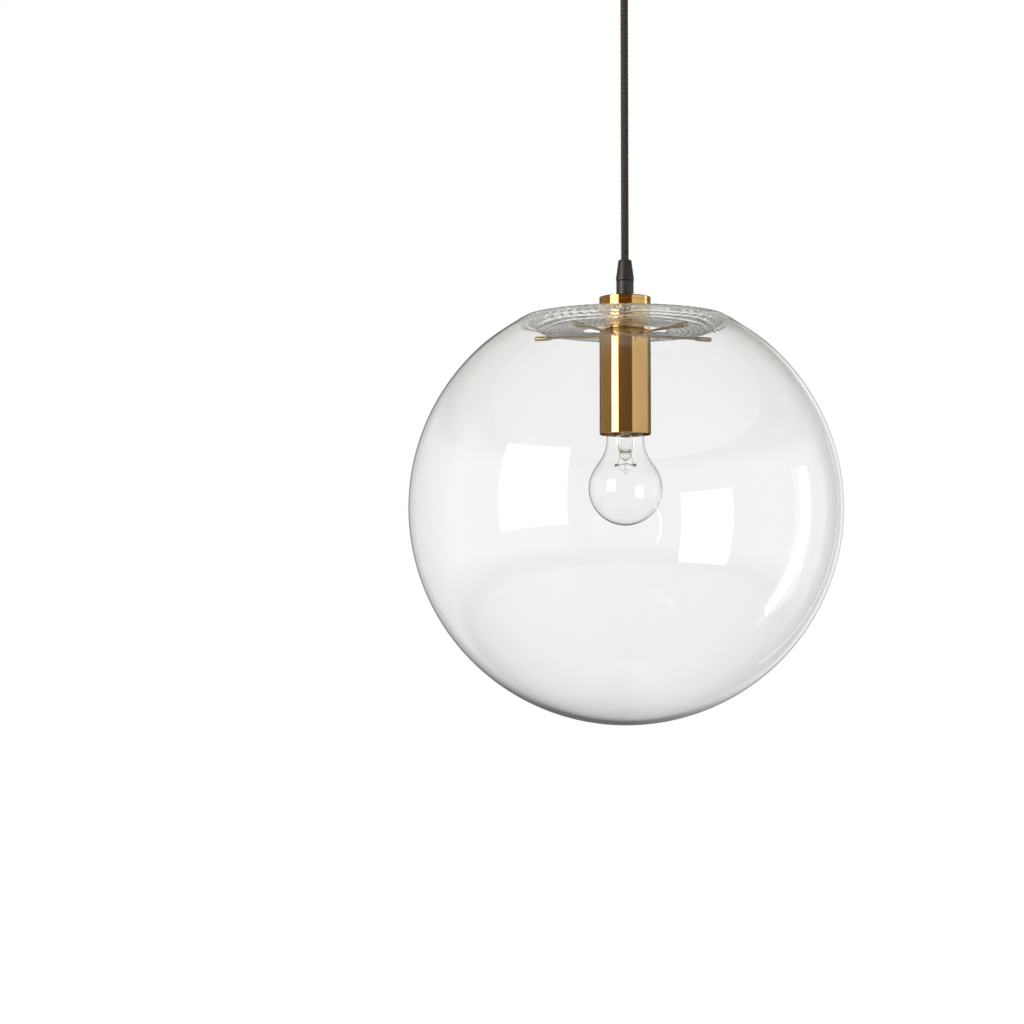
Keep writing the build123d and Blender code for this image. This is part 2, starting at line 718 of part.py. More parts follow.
canopy_top = -CANOPY_TOP_GAP
canopy_bottom = -CANOPY_HEIGHT

with BuildPart() as ceiling_canopy:
    with BuildSketch(Plane.XY.offset(canopy_bottom)):
        Circle(CANOPY_R)
    extrude(amount=canopy_top - canopy_bottom)
    fillet(ceiling_canopy.edges().group_by(Axis.Z)[0], 3.0)
    offset(amount=-CANOPY_WALL, openings=ceiling_canopy.faces().sort_by(Axis.Z)[-1])
    with BuildSketch(Plane.XY.offset(canopy_bottom)):
        Circle(ROD_R)
    extrude(amount=CANOPY_WALL, mode=Mode.SUBTRACT)
    with Locations((0, 0, SIDE_SCREW_Z)):
        Cylinder(SIDE_SCREW_R, 3 * CANOPY_R, rotation=(0, 90, 0), mode=Mode.SUBTRACT)
ceiling_canopy.part.label = "ceiling_canopy"
export_step(ceiling_canopy.part, "parts/ceiling_canopy.step")

side_screw_length = CANOPY_R - half_length + BRACKET_SHEET + 4.0
side_screw_list = []
for side in (-1, 1):
    seat = (side * CANOPY_R, 0, SIDE_SCREW_Z)
    side_screw_list.append(make_screw(seat, (-side, 0, 0), SIDE_SCREW_R, side_screw_length, 4.0, 2.6))
canopy_screws = Compound(children=side_screw_list)
canopy_screws.label = "canopy_screws"
export_step(canopy_screws, "parts/canopy_screws.step")

clamp_nut_list = []
for side in (-1, 1):
    nut_face_x = side * (half_length - BRACKET_SHEET - GAP)
    with BuildPart() as clamp_nut:
        with BuildSketch(Plane(origin=(nut_face_x, 0, SIDE_SCREW_Z), z_dir=(-side, 0, 0))):
            Rectangle(7.0, 7.0)
            Circle(SIDE_SCREW_R, mode=Mode.SUBTRACT)
        extrude(amount=2.2)
    clamp_nut_list.append(clamp_nut.part)
canopy_clamp_nuts = Compound(children=clamp_nut_list)
canopy_clamp_nuts.label = "canopy_clamp_nuts"
export_step(canopy_clamp_nuts, "parts/canopy_clamp_nuts.step")

# The canopy's grip hangs under it, with its stem and lock nut inside
canopy_grip_bottom = canopy_bottom - (GRIP_BODY_TOP_Z - CAP_TOP_Z)
canopy_nut_tip = canopy_grip_bottom - (GRIP_NUT_TOP_Z - GRIP_BODY_TOP_Z)
canopy_floor = canopy_bottom + CANOPY_WALL
stem_top = canopy_floor + 4.5
loose_bore_r = CORD_R + GAP

with BuildPart() as canopy_grip_body:
    with BuildSketch(Plane.XY.offset(canopy_grip_bottom)):
        Circle(GRIP_BODY_R)
    extrude(amount=canopy_bottom - canopy_grip_bottom)
    with BuildSketch(Plane.XY.offset(canopy_bottom)):
        Circle(ROD_R)
    extrude(amount=stem_top - canopy_bottom)
    with BuildSketch(Plane.XY.offset(canopy_grip_bottom)):
        Circle(loose_bore_r)
    extrude(amount=stem_top - canopy_grip_bottom, mode=Mode.SUBTRACT)
canopy_grip_body.part.label = "canopy_grip_body"
export_step(canopy_grip_body.part, "parts/canopy_grip_body.step")

canopy_grip_nut = make_grip_nut(canopy_grip_bottom, canopy_nut_tip, loose_bore_r)
canopy_grip_nut.label = "canopy_grip_nut"
export_step(canopy_grip_nut, "parts/canopy_grip_nut.step")

canopy_lock_nut = make_lock_nut(ROD_R, 14.0, canopy_floor, 3.0)
canopy_lock_nut.label = "canopy_lock_nut"
export_step(canopy_lock_nut, "parts/canopy_lock_nut.step")

# Cord anchor under the bracket's middle, with windows for the leads near its top
anchor_width = 15.0
anchor_bottom = -15.0
anchor_window = 3.4
lead_z = -5.6
anchor_screw_r = 1.5
anchor_screw_z = -11.5

with BuildPart() as cord_anchor:
    with Locations((0, 0, (sheet_under + anchor_bottom) / 2)):
        Box(anchor_width, anchor_width, sheet_under - anchor_bottom)
    with BuildSketch(Plane.XY.offset(anchor_bottom)):
        Circle(CORD_R)
    extrude(amount=CORD_TOP_Z - anchor_bottom, mode=Mode.SUBTRACT)
    with Locations((0, 0, (CORD_TOP_Z + lead_z + anchor_window / 2) / 2)):
        Box(2 * anchor_width, 11.5, lead_z + anchor_window / 2 - CORD_TOP_Z, mode=Mode.SUBTRACT)
    with Locations((0, anchor_width / 2, anchor_screw_z)):
        Cylinder(anchor_screw_r, anchor_width - 2 * CORD_R, rotation=(90, 0, 0), mode=Mode.SUBTRACT)
cord_anchor.part.label = "cord_anchor"
export_step(cord_anchor.part, "parts/cord_anchor.step")

anchor_screw_seat = (0, anchor_width / 2, anchor_screw_z)
anchor_screw_length = anchor_width / 2 - CORD_R
anchor_screw = make_screw(anchor_screw_seat, (0, -1, 0), anchor_screw_r, anchor_screw_length, 2.7, 1.8)
anchor_screw.label = "anchor_screw"
export_step(anchor_screw, "parts/anchor_screw.step")

# Two-way terminal block
block_x = 18.5
block_length = 15.0
block_width = 20.0
block_bottom = -12.5
way_pitch = 9.0
insert_r = 2.6
insert_bore_r = 1.4
terminal_screw_r = 1.3

with BuildPart() as terminal_block:
    with Locations((block_x, 0, (sheet_under + block_bottom) / 2)):
        Box(block_length, block_width, sheet_under - block_bottom)
    with Locations((block_x, -way_pitch / 2, lead_z), (block_x, way_pitch / 2, lead_z)):
        Cylinder(insert_r, block_length, rotation=(0, 90, 0), mode=Mode.SUBTRACT)
    with BuildSketch(Plane.XY.offset(block_bottom)):
        with Locations((block_x, 0)):
            with GridLocations(8.0, way_pitch, 2, 2):
                Circle(2.1)
    extrude(amount=5.0, mode=Mode.SUBTRACT)
terminal_block.part.label = "terminal_block"
export_step(terminal_block.part, "parts/terminal_block.step")

insert_list = []
for way_y in (-way_pitch / 2, way_pitch / 2):
    with BuildPart() as insert:
        with Locations((block_x, way_y, lead_z)):
            Cylinder(insert_r, block_length, rotation=(0, 90, 0))
            Cylinder(insert_bore_r, block_length, rotation=(0, 90, 0), mode=Mode.SUBTRACT)
        with Locations((block_x - 4.0, way_y, lead_z - insert_r), (block_x + 4.0, way_y, lead_z - insert_r)):
            Cylinder(terminal_screw_r, 2 * (insert_r - insert_bore_r) + 1.0, mode=Mode.SUBTRACT)
    insert_list.append(insert.part)
terminal_inserts = Compound(children=insert_list)
terminal_inserts.label = "terminal_inserts"
export_step(terminal_inserts, "parts/terminal_inserts.step")

block_screw_list = []
for way_y in (-way_pitch / 2, way_pitch / 2):
    for screw_x in (block_x - 4.0, block_x + 4.0):
        seat = (screw_x, way_y, lead_z - insert_r)
        block_screw_list.append(make_screw(seat, (0, 0, 1), terminal_screw_r, 1.1, 2.0, 1.4))
terminal_screws = Compound(children=block_screw_list)
terminal_screws.label = "terminal_screws"
export_step(terminal_screws, "parts/terminal_screws.step")

earth_screw_seat = (earth_screw_x, 0, sheet_under - 2 * CORE_R)
earth_screw = make_screw(earth_screw_seat, (0, 0, 1), 2.0, 2 * CORE_R + BRACKET_SHEET, 3.8, 2.4)
earth_screw.label = "earth_screw"
export_step(earth_screw, "parts/earth_screw.step")

# Leads from the anchor: live and neutral to the block, earth to the bracket's screw
block_face_x = block_x - block_length / 2
ceiling_leads = {
    "ceiling_lead_live": [
        (0.4, -1.25, lead_z),
        (4.5, -2.2, lead_z),
        (8.5, -way_pitch / 2, lead_z),
        (block_face_x + 2.5, -way_pitch / 2, lead_z),
    ],
    "ceiling_lead_neutral": [
        (0.4, 1.25, lead_z),
        (4.5, 2.2, lead_z),
        (8.5, way_pitch / 2, lead_z),
        (block_face_x + 2.5, way_pitch / 2, lead_z),
    ],
    "ceiling_lead_earth": [
        (-1.6, 0, lead_z),
        (-9.0, 0, lead_z),
        (-13.0, 0, sheet_under - CORE_R),
        (earth_screw_x + 2.2, 0, sheet_under - CORE_R),
    ],
}
for lead_name, route in ceiling_leads.items():
    lead_part = make_lead(route, 2.0)
    lead_part.label = lead_name
    export_step(lead_part, f"parts/{lead_name}.step")
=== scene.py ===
import math

import bmesh
import bpy
import numpy as np
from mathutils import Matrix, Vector


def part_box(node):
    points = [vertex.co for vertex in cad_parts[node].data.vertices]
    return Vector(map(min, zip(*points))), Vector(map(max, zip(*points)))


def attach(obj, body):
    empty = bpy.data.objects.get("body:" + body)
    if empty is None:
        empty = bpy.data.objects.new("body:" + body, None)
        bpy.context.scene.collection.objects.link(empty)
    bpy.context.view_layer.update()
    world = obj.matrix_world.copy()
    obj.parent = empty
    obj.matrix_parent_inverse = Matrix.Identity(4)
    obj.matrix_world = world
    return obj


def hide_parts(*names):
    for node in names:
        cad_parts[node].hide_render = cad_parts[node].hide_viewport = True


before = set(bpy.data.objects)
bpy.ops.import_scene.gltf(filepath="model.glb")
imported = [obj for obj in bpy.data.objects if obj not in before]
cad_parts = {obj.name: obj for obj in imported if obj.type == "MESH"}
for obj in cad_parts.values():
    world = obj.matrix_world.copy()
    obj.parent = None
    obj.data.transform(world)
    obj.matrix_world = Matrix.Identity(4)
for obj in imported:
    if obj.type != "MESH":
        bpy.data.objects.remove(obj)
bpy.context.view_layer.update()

MM = 0.001
FULL_TURN = 2.0 * math.pi
ARM_NUMBERS = range(1, 6)


# ---------------------------------------------------------------------------
# Places read from the frame, in metres
# ---------------------------------------------------------------------------

def middle(node):
    """Middle of a CAD node's box."""
    low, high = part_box(node)
    return (Vector(low) + Vector(high)) / 2.0


def half_width(node):
    """Half the width of a CAD node's box along X."""
    low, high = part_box(node)
    return (high[0] - low[0]) / 2.0


globe_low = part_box("globe")[0]
tube_low, tube_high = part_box("body_tube")
cord_low, cord_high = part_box("textile_cord")
bulb_low, bulb_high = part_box("bulb_glass")
GLOBE_R = half_width("globe")
CENTRE_Z = globe_low[2] + GLOBE_R
TUBE_R = half_width("body_tube")
CORD_R = half_width("textile_cord")
ARM_Z = middle("arm_tip_1").z


# ---------------------------------------------------------------------------
# Camera
# ---------------------------------------------------------------------------

CAMERA_DISTANCE = 2.4        # from the cord's line, level with the camera
CAMERA_DROP = 0.18           # below the globe's centre
CAMERA_PITCH = math.radians(4.212)
CAMERA_YAW = math.radians(2.186)
CAMERA_LENS = 104.9          # in millimetres, like the sensor
SENSOR_WIDTH = 36.0
FAR_CLIP = 50.0


def add_camera():
    data = bpy.data.cameras.new("camera")
    data.lens = CAMERA_LENS
    data.sensor_width = SENSOR_WIDTH
    data.clip_end = FAR_CLIP
    camera = bpy.data.objects.new("camera", data)
    camera.location = (0.0, -CAMERA_DISTANCE, CENTRE_Z - CAMERA_DROP)
    camera.rotation_euler = (math.pi / 2.0 + CAMERA_PITCH, 0.0, CAMERA_YAW)
    bpy.context.scene.collection.objects.link(camera)
    bpy.context.scene.camera = camera


add_camera()


# ---------------------------------------------------------------------------
# Node materials
# ---------------------------------------------------------------------------

TURNING_MARK_DEPTH = 0.00005
PEBBLE_DEPTH = 0.0001
WAVINESS_DEPTH = 0.001
FIBRE_DEPTH = 0.00015
CLOUD_RANGE = (0.0, 1.0)     # how far a noise's usual spread is stretched to mix two tones


class Shader:
    """A new material with one Principled shader, and short calls that add nodes to it."""

    def __init__(self, name, colour, roughness, metallic=0.0, **sockets):
        self.material = bpy.data.materials.new(name)
        self.material.use_nodes = True
        self.tree = self.material.node_tree
        self.bsdf = next(n for n in self.tree.nodes if n.type == "BSDF_PRINCIPLED")
        self.output = next(n for n in self.tree.nodes if n.type == "OUTPUT_MATERIAL")
        self.bsdf.inputs["Base Color"].default_value = (*colour, 1.0)
        self.bsdf.inputs["Roughness"].default_value = roughness
        self.bsdf.inputs["Metallic"].default_value = metallic
        for socket, value in sockets.items():
            self.bsdf.inputs[socket.replace("_", " ")].default_value = value

    def node(self, kind, **settings):
        made = self.tree.nodes.new(kind)
        for key, value in settings.items():
            if hasattr(made, key):
                setattr(made, key, value)
            else:
                made.inputs[key.replace("_", " ")].default_value = value
        return made

    def link(self, source, target):
        self.tree.links.new(source, target)

    def place(self, scale=(1.0, 1.0, 1.0), uv=False):
        """Object or UV coordinates, scaled."""
        coordinates = self.node("ShaderNodeTexCoord")
        mapping = self.node("ShaderNodeMapping")
        mapping.inputs["Scale"].default_value = scale
        self.link(coordinates.outputs["UV" if uv else "Object"], mapping.inputs["Vector"])
        return mapping.outputs["Vector"]

    def noise(self, where, scale, detail=4.0):
        made = self.node("ShaderNodeTexNoise", Scale=scale, Detail=detail)
        self.link(where, made.inputs["Vector"])
        return made.outputs["Fac"]

    def ranged(self, value, low, high, source_low=0.3, source_high=0.7):
        """Maps a noise value's usual spread to the range from low to high."""
        made = self.node("ShaderNodeMapRange")
        made.inputs["From Min"].default_value = source_low
        made.inputs["From Max"].default_value = source_high
        made.inputs["To Min"].default_value = low
        made.inputs["To Max"].default_value = high
        self.link(value, made.inputs["Value"])
        return made.outputs["Result"]

    def blend(self, factor, first, second):
        made = self.node("ShaderNodeMix", data_type="RGBA")
        made.inputs["A"].default_value = (*first, 1.0)
        made.inputs["B"].default_value = (*second, 1.0)
        self.link(factor, made.inputs["Factor"])
        return made.outputs["Result"]

    def bump(self, height, strength, distance):
        made = self.node("ShaderNodeBump", Strength=strength, Distance=distance)
        self.link(height, made.inputs["Height"])
        self.link(made.outputs["Normal"], self.bsdf.inputs["Normal"])

    def drive(self, socket, value):
        self.link(value, self.bsdf.inputs[socket])


def metal(name, tone, worn_tone, rough_low, rough_high, grain, grain_strength, **sockets):
    """Polished or satin metal: cloudy roughness, faint tone changes and fine turning marks."""
    shader = Shader(name, tone, rough_low, metallic=1.0, **sockets)
    cloud = shader.noise(shader.place(), 45.0)
    shader.drive("Base Color", shader.blend(shader.ranged(cloud, *CLOUD_RANGE), tone, worn_tone))
    smear = shader.noise(shader.place((1.0, 1.0, 0.25)), 160.0, 6.0)
    shader.drive("Roughness", shader.ranged(smear, rough_low, rough_high))
    marks = shader.noise(shader.place(grain), 900.0, 2.0)
    shader.bump(marks, grain_strength, TURNING_MARK_DEPTH)
    return shader.material


def plastic(name, tone, second_tone, rough_low, rough_high, pebble=1400.0, strength=0.12):
    """Moulded plastic with a fine pebbled skin."""
    shader = Shader(name, tone, rough_low)
    cloud = shader.noise(shader.place(), 120.0)
    shader.drive("Base Color", shader.blend(shader.ranged(cloud, *CLOUD_RANGE), tone, second_tone))
    shader.drive("Roughness", shader.ranged(shader.noise(shader.place(), 300.0), rough_low, rough_high))
    shader.bump(shader.noise(shader.place(), pebble, 3.0), strength, PEBBLE_DEPTH)
    return shader.material


def glass(name, absorption, tint, wobble_scale, wobble, bending=1.5):
    """Clear blown glass: absorbs a little along its thickness, with a faint waviness of the skin."""
    shader = Shader(name, (1.0, 1.0, 1.0), 0.0, IOR=bending)
    shader.bsdf.inputs["Transmission Weight"].default_value = 1.0
    volume = shader.node("ShaderNodeVolumeAbsorption")
    volume.inputs["Color"].default_value = (*tint, 1.0)
    volume.inputs["Density"].default_value = absorption
    shader.link(volume.outputs["Volume"], shader.output.inputs["Volume"])
    shader.bump(shader.noise(shader.place(), wobble_scale, 2.0), wobble, WAVINESS_DEPTH)
    return shader.material


ROUND_GRAIN = (1.0, 1.0, 14.0)
BRASS = metal(
    "polished_brass", (0.80, 0.47, 0.14), (0.76, 0.44, 0.125), 0.03, 0.06, ROUND_GRAIN, 0.04,
    Coat_Weight=1.0, Coat_Roughness=0.03,
)
# Arm brass: rougher and without a coat, which is its own finish; its darker tone is painted shade, a shaded
# copy of the tube's brass
SHADED_ARM_BRASS = metal(
    "drawn_brass_painted_shade", (0.46, 0.31, 0.12), (0.40, 0.27, 0.10), 0.10, 0.18, ROUND_GRAIN, 0.04,
)
ZINC = metal("zinc_plated_steel", (0.56, 0.57, 0.58), (0.48, 0.49, 0.5), 0.25, 0.4, (6.0, 6.0, 1.0), 0.2)
NICKEL = metal("nickel_plate", (0.66, 0.62, 0.56), (0.58, 0.55, 0.5), 0.12, 0.24, (1.0, 1.0, 8.0), 0.12)
TUNGSTEN = metal("tungsten_wire", (0.30, 0.28, 0.26), (0.22, 0.21, 0.2), 0.3, 0.45, (8.0, 8.0, 8.0), 0.2)
BLACK = plastic("black_plastic", (0.020, 0.016, 0.0135), (0.028, 0.022, 0.018), 0.30, 0.42)
PHENOLIC = plastic("phenolic", (0.012, 0.012, 0.012), (0.02, 0.019, 0.018), 0.16, 0.26, 700.0, 0.05)
PORCELAIN = plastic("porcelain", (0.80, 0.77, 0.70), (0.74, 0.71, 0.64), 0.12, 0.2, 400.0, 0.05)
TERMINAL = plastic("terminal_white", (0.78, 0.78, 0.75), (0.72, 0.72, 0.7), 0.35, 0.5)
LEAD_BROWN = plastic("lead_brown", (0.12, 0.045, 0.018), (0.15, 0.06, 0.024), 0.3, 0.4)
LEAD_BLUE = plastic("lead_blue", (0.02, 0.07, 0.30), (0.03, 0.09, 0.36), 0.3, 0.4)
GLOBE_GLASS = glass("clear_globe_glass", 20.0, (0.62, 0.69, 0.65), 9.0, 0.04)
BULB_GLASS = glass("clear_bulb_glass", 8.0, (0.80, 0.64, 0.66), 30.0, 0.03, 1.33)


def make_earth_insulation():
    """Green insulation with a yellow stripe along it."""
    shader = Shader("lead_green_yellow", (0.08, 0.25, 0.03), 0.35)
    wave = shader.node("ShaderNodeTexWave", Scale=180.0, Distortion=0.0)
    shader.link(shader.place((1.0, 0.6, 0.15)), wave.inputs["Vector"])
    shader.drive("Base Color", shader.blend(wave.outputs["Fac"], (0.05, 0.22, 0.03), (0.75, 0.6, 0.03)))
    shader.bump(shader.noise(shader.place(), 1200.0), 0.1, PEBBLE_DEPTH)
    return shader.material


def make_braid_material():
    """Spun textile yarn: dark brown and black, with fine fibres along each strand."""
    shader = Shader("textile_braid", (0.02, 0.015, 0.011), 0.62)
    shader.bsdf.inputs["Sheen Weight"].default_value = 0.35
    shader.bsdf.inputs["Sheen Roughness"].default_value = 0.35
    fibres = shader.node("ShaderNodeTexWave", bands_direction="X", Scale=1.6, Distortion=1.2, Detail=2.0)
    shader.link(shader.place((1.0, 0.35, 1.0), uv=True), fibres.inputs["Vector"])
    mottle = shader.ranged(shader.noise(shader.place(), 700.0, 3.0), *CLOUD_RANGE)
    shader.drive("Base Color", shader.blend(mottle, (0.010, 0.008, 0.007), (0.042, 0.030, 0.021)))
    shader.bump(fibres.outputs["Fac"], 0.5, FIBRE_DEPTH)
    return shader.material


LEAD_EARTH = make_earth_insulation()
BRAID = make_braid_material()


# ---------------------------------------------------------------------------
# Mesh helpers
# ---------------------------------------------------------------------------

SHARP_EDGE = math.radians(40.0)
WELD = 1e-7


def add_mesh(name, vertices, faces, material, body, uvs=None):
    """Mesh object that rides on a body: smooth-shaded, but sharp along its sharp edges."""
    mesh = bpy.data.meshes.new(name)
    mesh.from_pydata([tuple(v) for v in vertices], [], faces)
    if uvs is not None:
        layer = mesh.uv_layers.new(name="UVMap")
        corners = np.empty(len(mesh.loops), dtype=np.int32)
        mesh.loops.foreach_get("vertex_index", corners)
        layer.data.foreach_set("uv", np.array(uvs, dtype=np.float32)[corners].ravel())
    working = bmesh.new()
    working.from_mesh(mesh)
    bmesh.ops.remove_doubles(working, verts=working.verts, dist=WELD)
    bmesh.ops.recalc_face_normals(working, faces=working.faces)
    for face in working.faces:
        face.smooth = True
    for edge in working.edges:
        edge.smooth = edge.calc_face_angle(0.0) < SHARP_EDGE
    working.to_mesh(mesh)
    working.free()
    piece = bpy.data.objects.new(name, mesh)
    bpy.context.scene.collection.objects.link(piece)
    piece.data.materials.append(material)
    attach(piece, body)
    return piece


def tube_faces(rings, sides, closed):
    """Quads between rings of equal size, and from the last ring to the first where it is closed."""
    faces = []
    last = rings if closed else rings - 1
    for ring in range(last):
        here = ring * sides
        there = (ring + 1) % rings * sides
        for side in range(sides):
            beside = (side + 1) % sides
            faces.append((here + side, here + beside, there + beside, there + side))
    return faces


def spin(outline, segments, origin=(0.0, 0.0, 0.0), along=(0.0, 0.0, 1.0)):
    """Rings of an outline of (radius, height) points turned about an axis, as an array of vertices."""
    along = Vector(along)
    aside = Vector((-along.y, along.x, 0.0)).normalized() if along.z < 0.5 else Vector((1.0, 0.0, 0.0))
    across = along.cross(aside)
    turn = np.linspace(0.0, FULL_TURN, segments, endpoint=False)
    radius, height = np.array([tuple(p) for p in outline]).T
    radius = np.maximum(radius, 0.0)
    ring = np.outer(np.cos(turn), aside) + np.outer(np.sin(turn), across)
    places = radius[:, None, None] * ring[None, :, :] + height[:, None, None] * np.array(along)
    places = places + np.array(origin)
    return places.reshape(-1, 3)


def lathe(name, outline, segments, material, body, slot_name, **axis):
    """Closed outline turned about the cord's line, or about another axis."""
    vertices = spin(outline, segments, **axis)
    return add_mesh(name, vertices, tube_faces(len(outline), segments, True), material, body)


def rounded(points, radii, steps=10):
    """Outline with an arc of the given radius at each corner between its ends; 0 keeps the corner."""
    path = [Vector(points[0])]
    for before, corner, after, radius in zip(points, points[1:], points[2:], radii):
        corner = Vector(corner)
        if radius == 0.0:
            path.append(corner)
            continue
        back = (Vector(before) - corner).normalized()
        ahead = (Vector(after) - corner).normalized()
        half = back.angle(ahead) / 2.0
        centre = corner + (back + ahead).normalized() * (radius / math.sin(half))
        start = corner + back * (radius / math.tan(half)) - centre
        end = corner + ahead * (radius / math.tan(half)) - centre
        sweep = start.angle(end)
        for step in range(steps + 1):
            part = sweep * step / steps
            path.append(centre + (start * math.sin(sweep - part) + end * math.sin(part)) / math.sin(sweep))
    path.append(Vector(points[-1]))
    return path


def refined(points, longest):
    """The same outline with its long runs divided, so that no run is longer than longest."""
    path = []
    for point, following in zip(points, points[1:]):
        parts = max(1, math.ceil((following - point).length / longest))
        path.extend(point.lerp(following, part / parts) for part in range(parts))
    return path + [points[-1]]


def bezier(start, start_pull, end_pull, end, steps):
    """Points on a cubic curve, without its last one."""
    points = []
    for step in range(steps):
        t = step / steps
        u = 1.0 - t
        near = Vector(start) * u**3 + Vector(start_pull) * (3.0 * u * u * t)
        far = Vector(end_pull) * (3.0 * u * t * t) + Vector(end) * t**3
        points.append(near + far)
    return points


def add_wires(name, lines, radius, sides, material, body):
    """Round wires along several lists of points, as one mesh with closed ends."""
    vertices, faces = [], []
    for line in lines:
        points = [Vector(p) for p in line]
        offset = len(vertices)
        aside = (points[1] - points[0]).orthogonal()
        for index, point in enumerate(points):
            ahead = (points[min(index + 1, len(points) - 1)] - points[max(index - 1, 0)]).normalized()
            aside = (aside - ahead * aside.dot(ahead)).normalized()
            up = ahead.cross(aside)
            for side in range(sides):
                angle = FULL_TURN * side / sides
                vertices.append(point + (aside * math.cos(angle) + up * math.sin(angle)) * radius)
        faces += [tuple(offset + corner for corner in face) for face in tube_faces(len(points), sides, False)]
        last_ring = len(vertices) - sides
        faces.append(tuple(offset + side for side in range(sides)))
        faces.append(tuple(last_ring + side for side in range(sides)))
    return add_mesh(name, vertices, faces, material, body)


# ---------------------------------------------------------------------------
# Textile cord: a braid of sixteen flat strands over a core, along the route
# ---------------------------------------------------------------------------

def read_route(points):
    """Fine points along a smooth spline through the route's control points."""
    curve = bpy.data.curves.new("cord_route", "CURVE")
    curve.dimensions = "3D"
    curve.resolution_u = 64
    spline = curve.splines.new("NURBS")
    spline.points.add(len(points) - 1)
    for control, point in zip(spline.points, points):
        control.co = (*point, 1.0)
    spline.order_u = 3
    spline.use_endpoint_u = True
    route = bpy.data.objects.new("cord_route", curve)
    bpy.context.scene.collection.objects.link(route)
    line = bpy.data.meshes.new_from_object(route)
    path = [v.co.copy() for v in line.vertices]
    bpy.data.objects.remove(route)
    bpy.data.curves.remove(curve)
    bpy.data.meshes.remove(line)
    return path


CARRIERS = 8                 # strands wound each way
BRAID_PITCH = 30.4 * MM      # height of one whole turn of a strand
BRAID_R = CORD_R - 0.1 * MM
STRAND_WIDTH = 1.9 * MM
STRAND_THICKNESS = 0.42 * MM
STRAND_SIDES = 8
STRAND_STEP = 0.5 * MM       # height between a strand's rings
WEAVE_DEPTH = 0.18 * MM
CORE_SIDES = 24


def strand_vertices(way, number, base, length):
    """Vertices and UVs of one strand, which passes over and under the strands wound the other way."""
    count = int(length / STRAND_STEP) + 1
    heights = np.linspace(0.0, length, count)
    turn = way * FULL_TURN * heights / BRAID_PITCH + FULL_TURN * number / CARRIERS
    start = math.pi * number + (0.0 if way > 0 else math.pi)
    radius = BRAID_R + WEAVE_DEPTH * np.cos(CARRIERS * FULL_TURN * heights / BRAID_PITCH + start)
    slope = math.atan(FULL_TURN * BRAID_R / BRAID_PITCH)
    upward = np.array((0.0, 0.0, way * math.sin(slope)))
    vertices, uvs = [], []
    for height, angle, r in zip(heights, turn, radius):
        outward = np.array((math.cos(angle), math.sin(angle), 0.0))
        across = np.array((-math.sin(angle), math.cos(angle), 0.0)) * math.cos(slope) - upward
        for side in range(STRAND_SIDES):
            phi = FULL_TURN * side / STRAND_SIDES
            crown = math.sin(phi) * STRAND_THICKNESS / 2.0
            wide = math.cos(phi) * STRAND_WIDTH / 2.0
            lean = outward * (r + crown - wide * wide / (2.0 * r)) + across * wide
            vertices.append((lean[0], lean[1], base + height + lean[2]))
            uvs.append((0.5 + 0.5 * math.cos(phi), height / STRAND_WIDTH))
    return vertices, uvs


def add_braid(path):
    """All strands and the core as one mesh."""
    margin = STRAND_WIDTH / 2.0
    base = path[0].z
    length = path[-1].z - base
    vertices, faces, uvs = [], [], []

    def append_tube(made, flat, sides):
        offset = len(vertices)
        vertices.extend(made)
        uvs.extend(flat)
        last_ring = len(vertices) - sides
        faces.extend(tuple(offset + v for v in face) for face in tube_faces(len(made) // sides, sides, False))
        faces.append(tuple(offset + side for side in range(sides)))
        faces.append(tuple(last_ring + side for side in range(sides)))

    for way in (1, -1):
        for number in range(CARRIERS):
            made, flat = strand_vertices(way, number, base + margin, length - 2.0 * margin)
            append_tube(made, flat, STRAND_SIDES)
    core_r = BRAID_R - WEAVE_DEPTH
    core = spin([(core_r, base), (core_r, base + length)], CORE_SIDES)
    append_tube([tuple(v) for v in core], [(0.5, 0.0)] * len(core), CORE_SIDES)
    braid = add_mesh("textile_cord_braid", vertices, faces, BRAID, "hanging_lamp", uvs)
    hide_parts("textile_cord")
    return braid


ROUTE_RUNS = 5
cord_rise = cord_high[2] - cord_low[2]
route = [(0.0, 0.0, cord_low[2] + cord_rise * run / ROUTE_RUNS) for run in range(ROUTE_RUNS + 1)]
cord_path = read_route(route)
cord_braid = add_braid(cord_path)


# ---------------------------------------------------------------------------
# Glass globe
# ---------------------------------------------------------------------------

GLOBE_WALL = 2.5 * MM
GLOBE_SEGMENTS = 288
SPHERE_STEPS = 80
NECK_R = 34.0 * MM
CREST_R = 80.0 * MM
DISH_R = 68.0 * MM
RIM_ROUNDING = 1.1 * MM
DISH_ROUNDING = 14.0 * MM
CREST_ROUNDING = 6.0 * MM
DISH_GAP = 0.3 * MM
DISH_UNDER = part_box("arm_tip_1")[1][2] - CENTRE_Z + DISH_GAP
DISH_STEP = 0.8 * MM
RIPPLE_LENGTH = 4.4 * MM     # from one ring of the pressed-in top to the next
RIPPLE_HEIGHT = 0.34 * MM
FLUTE_COUNT = 72             # faint radial waves that break up the rings
FLUTE_HEIGHT = 0.12 * MM
GRAIN_HEIGHT = 0.035 * MM
GRAIN_SEED = 7
SHOULDER_DROP = 0.9 * MM


def sphere_run(radius, to_r):
    """Outline of a sphere from its lowest point up to its upper part at radius to_r."""
    start = -math.pi / 2.0
    end = math.acos(to_r / radius)
    angles = [start + (end - start) * step / SPHERE_STEPS for step in range(SPHERE_STEPS + 1)]
    return [Vector((radius * math.cos(angle), radius * math.sin(angle))) for angle in angles]


def fade(value, start, end):
    """Smooth step from 0 at start to 1 at end."""
    t = np.clip((value - start) / (end - start), 0.0, 1.0)
    return t * t * (3.0 - 2.0 * t)


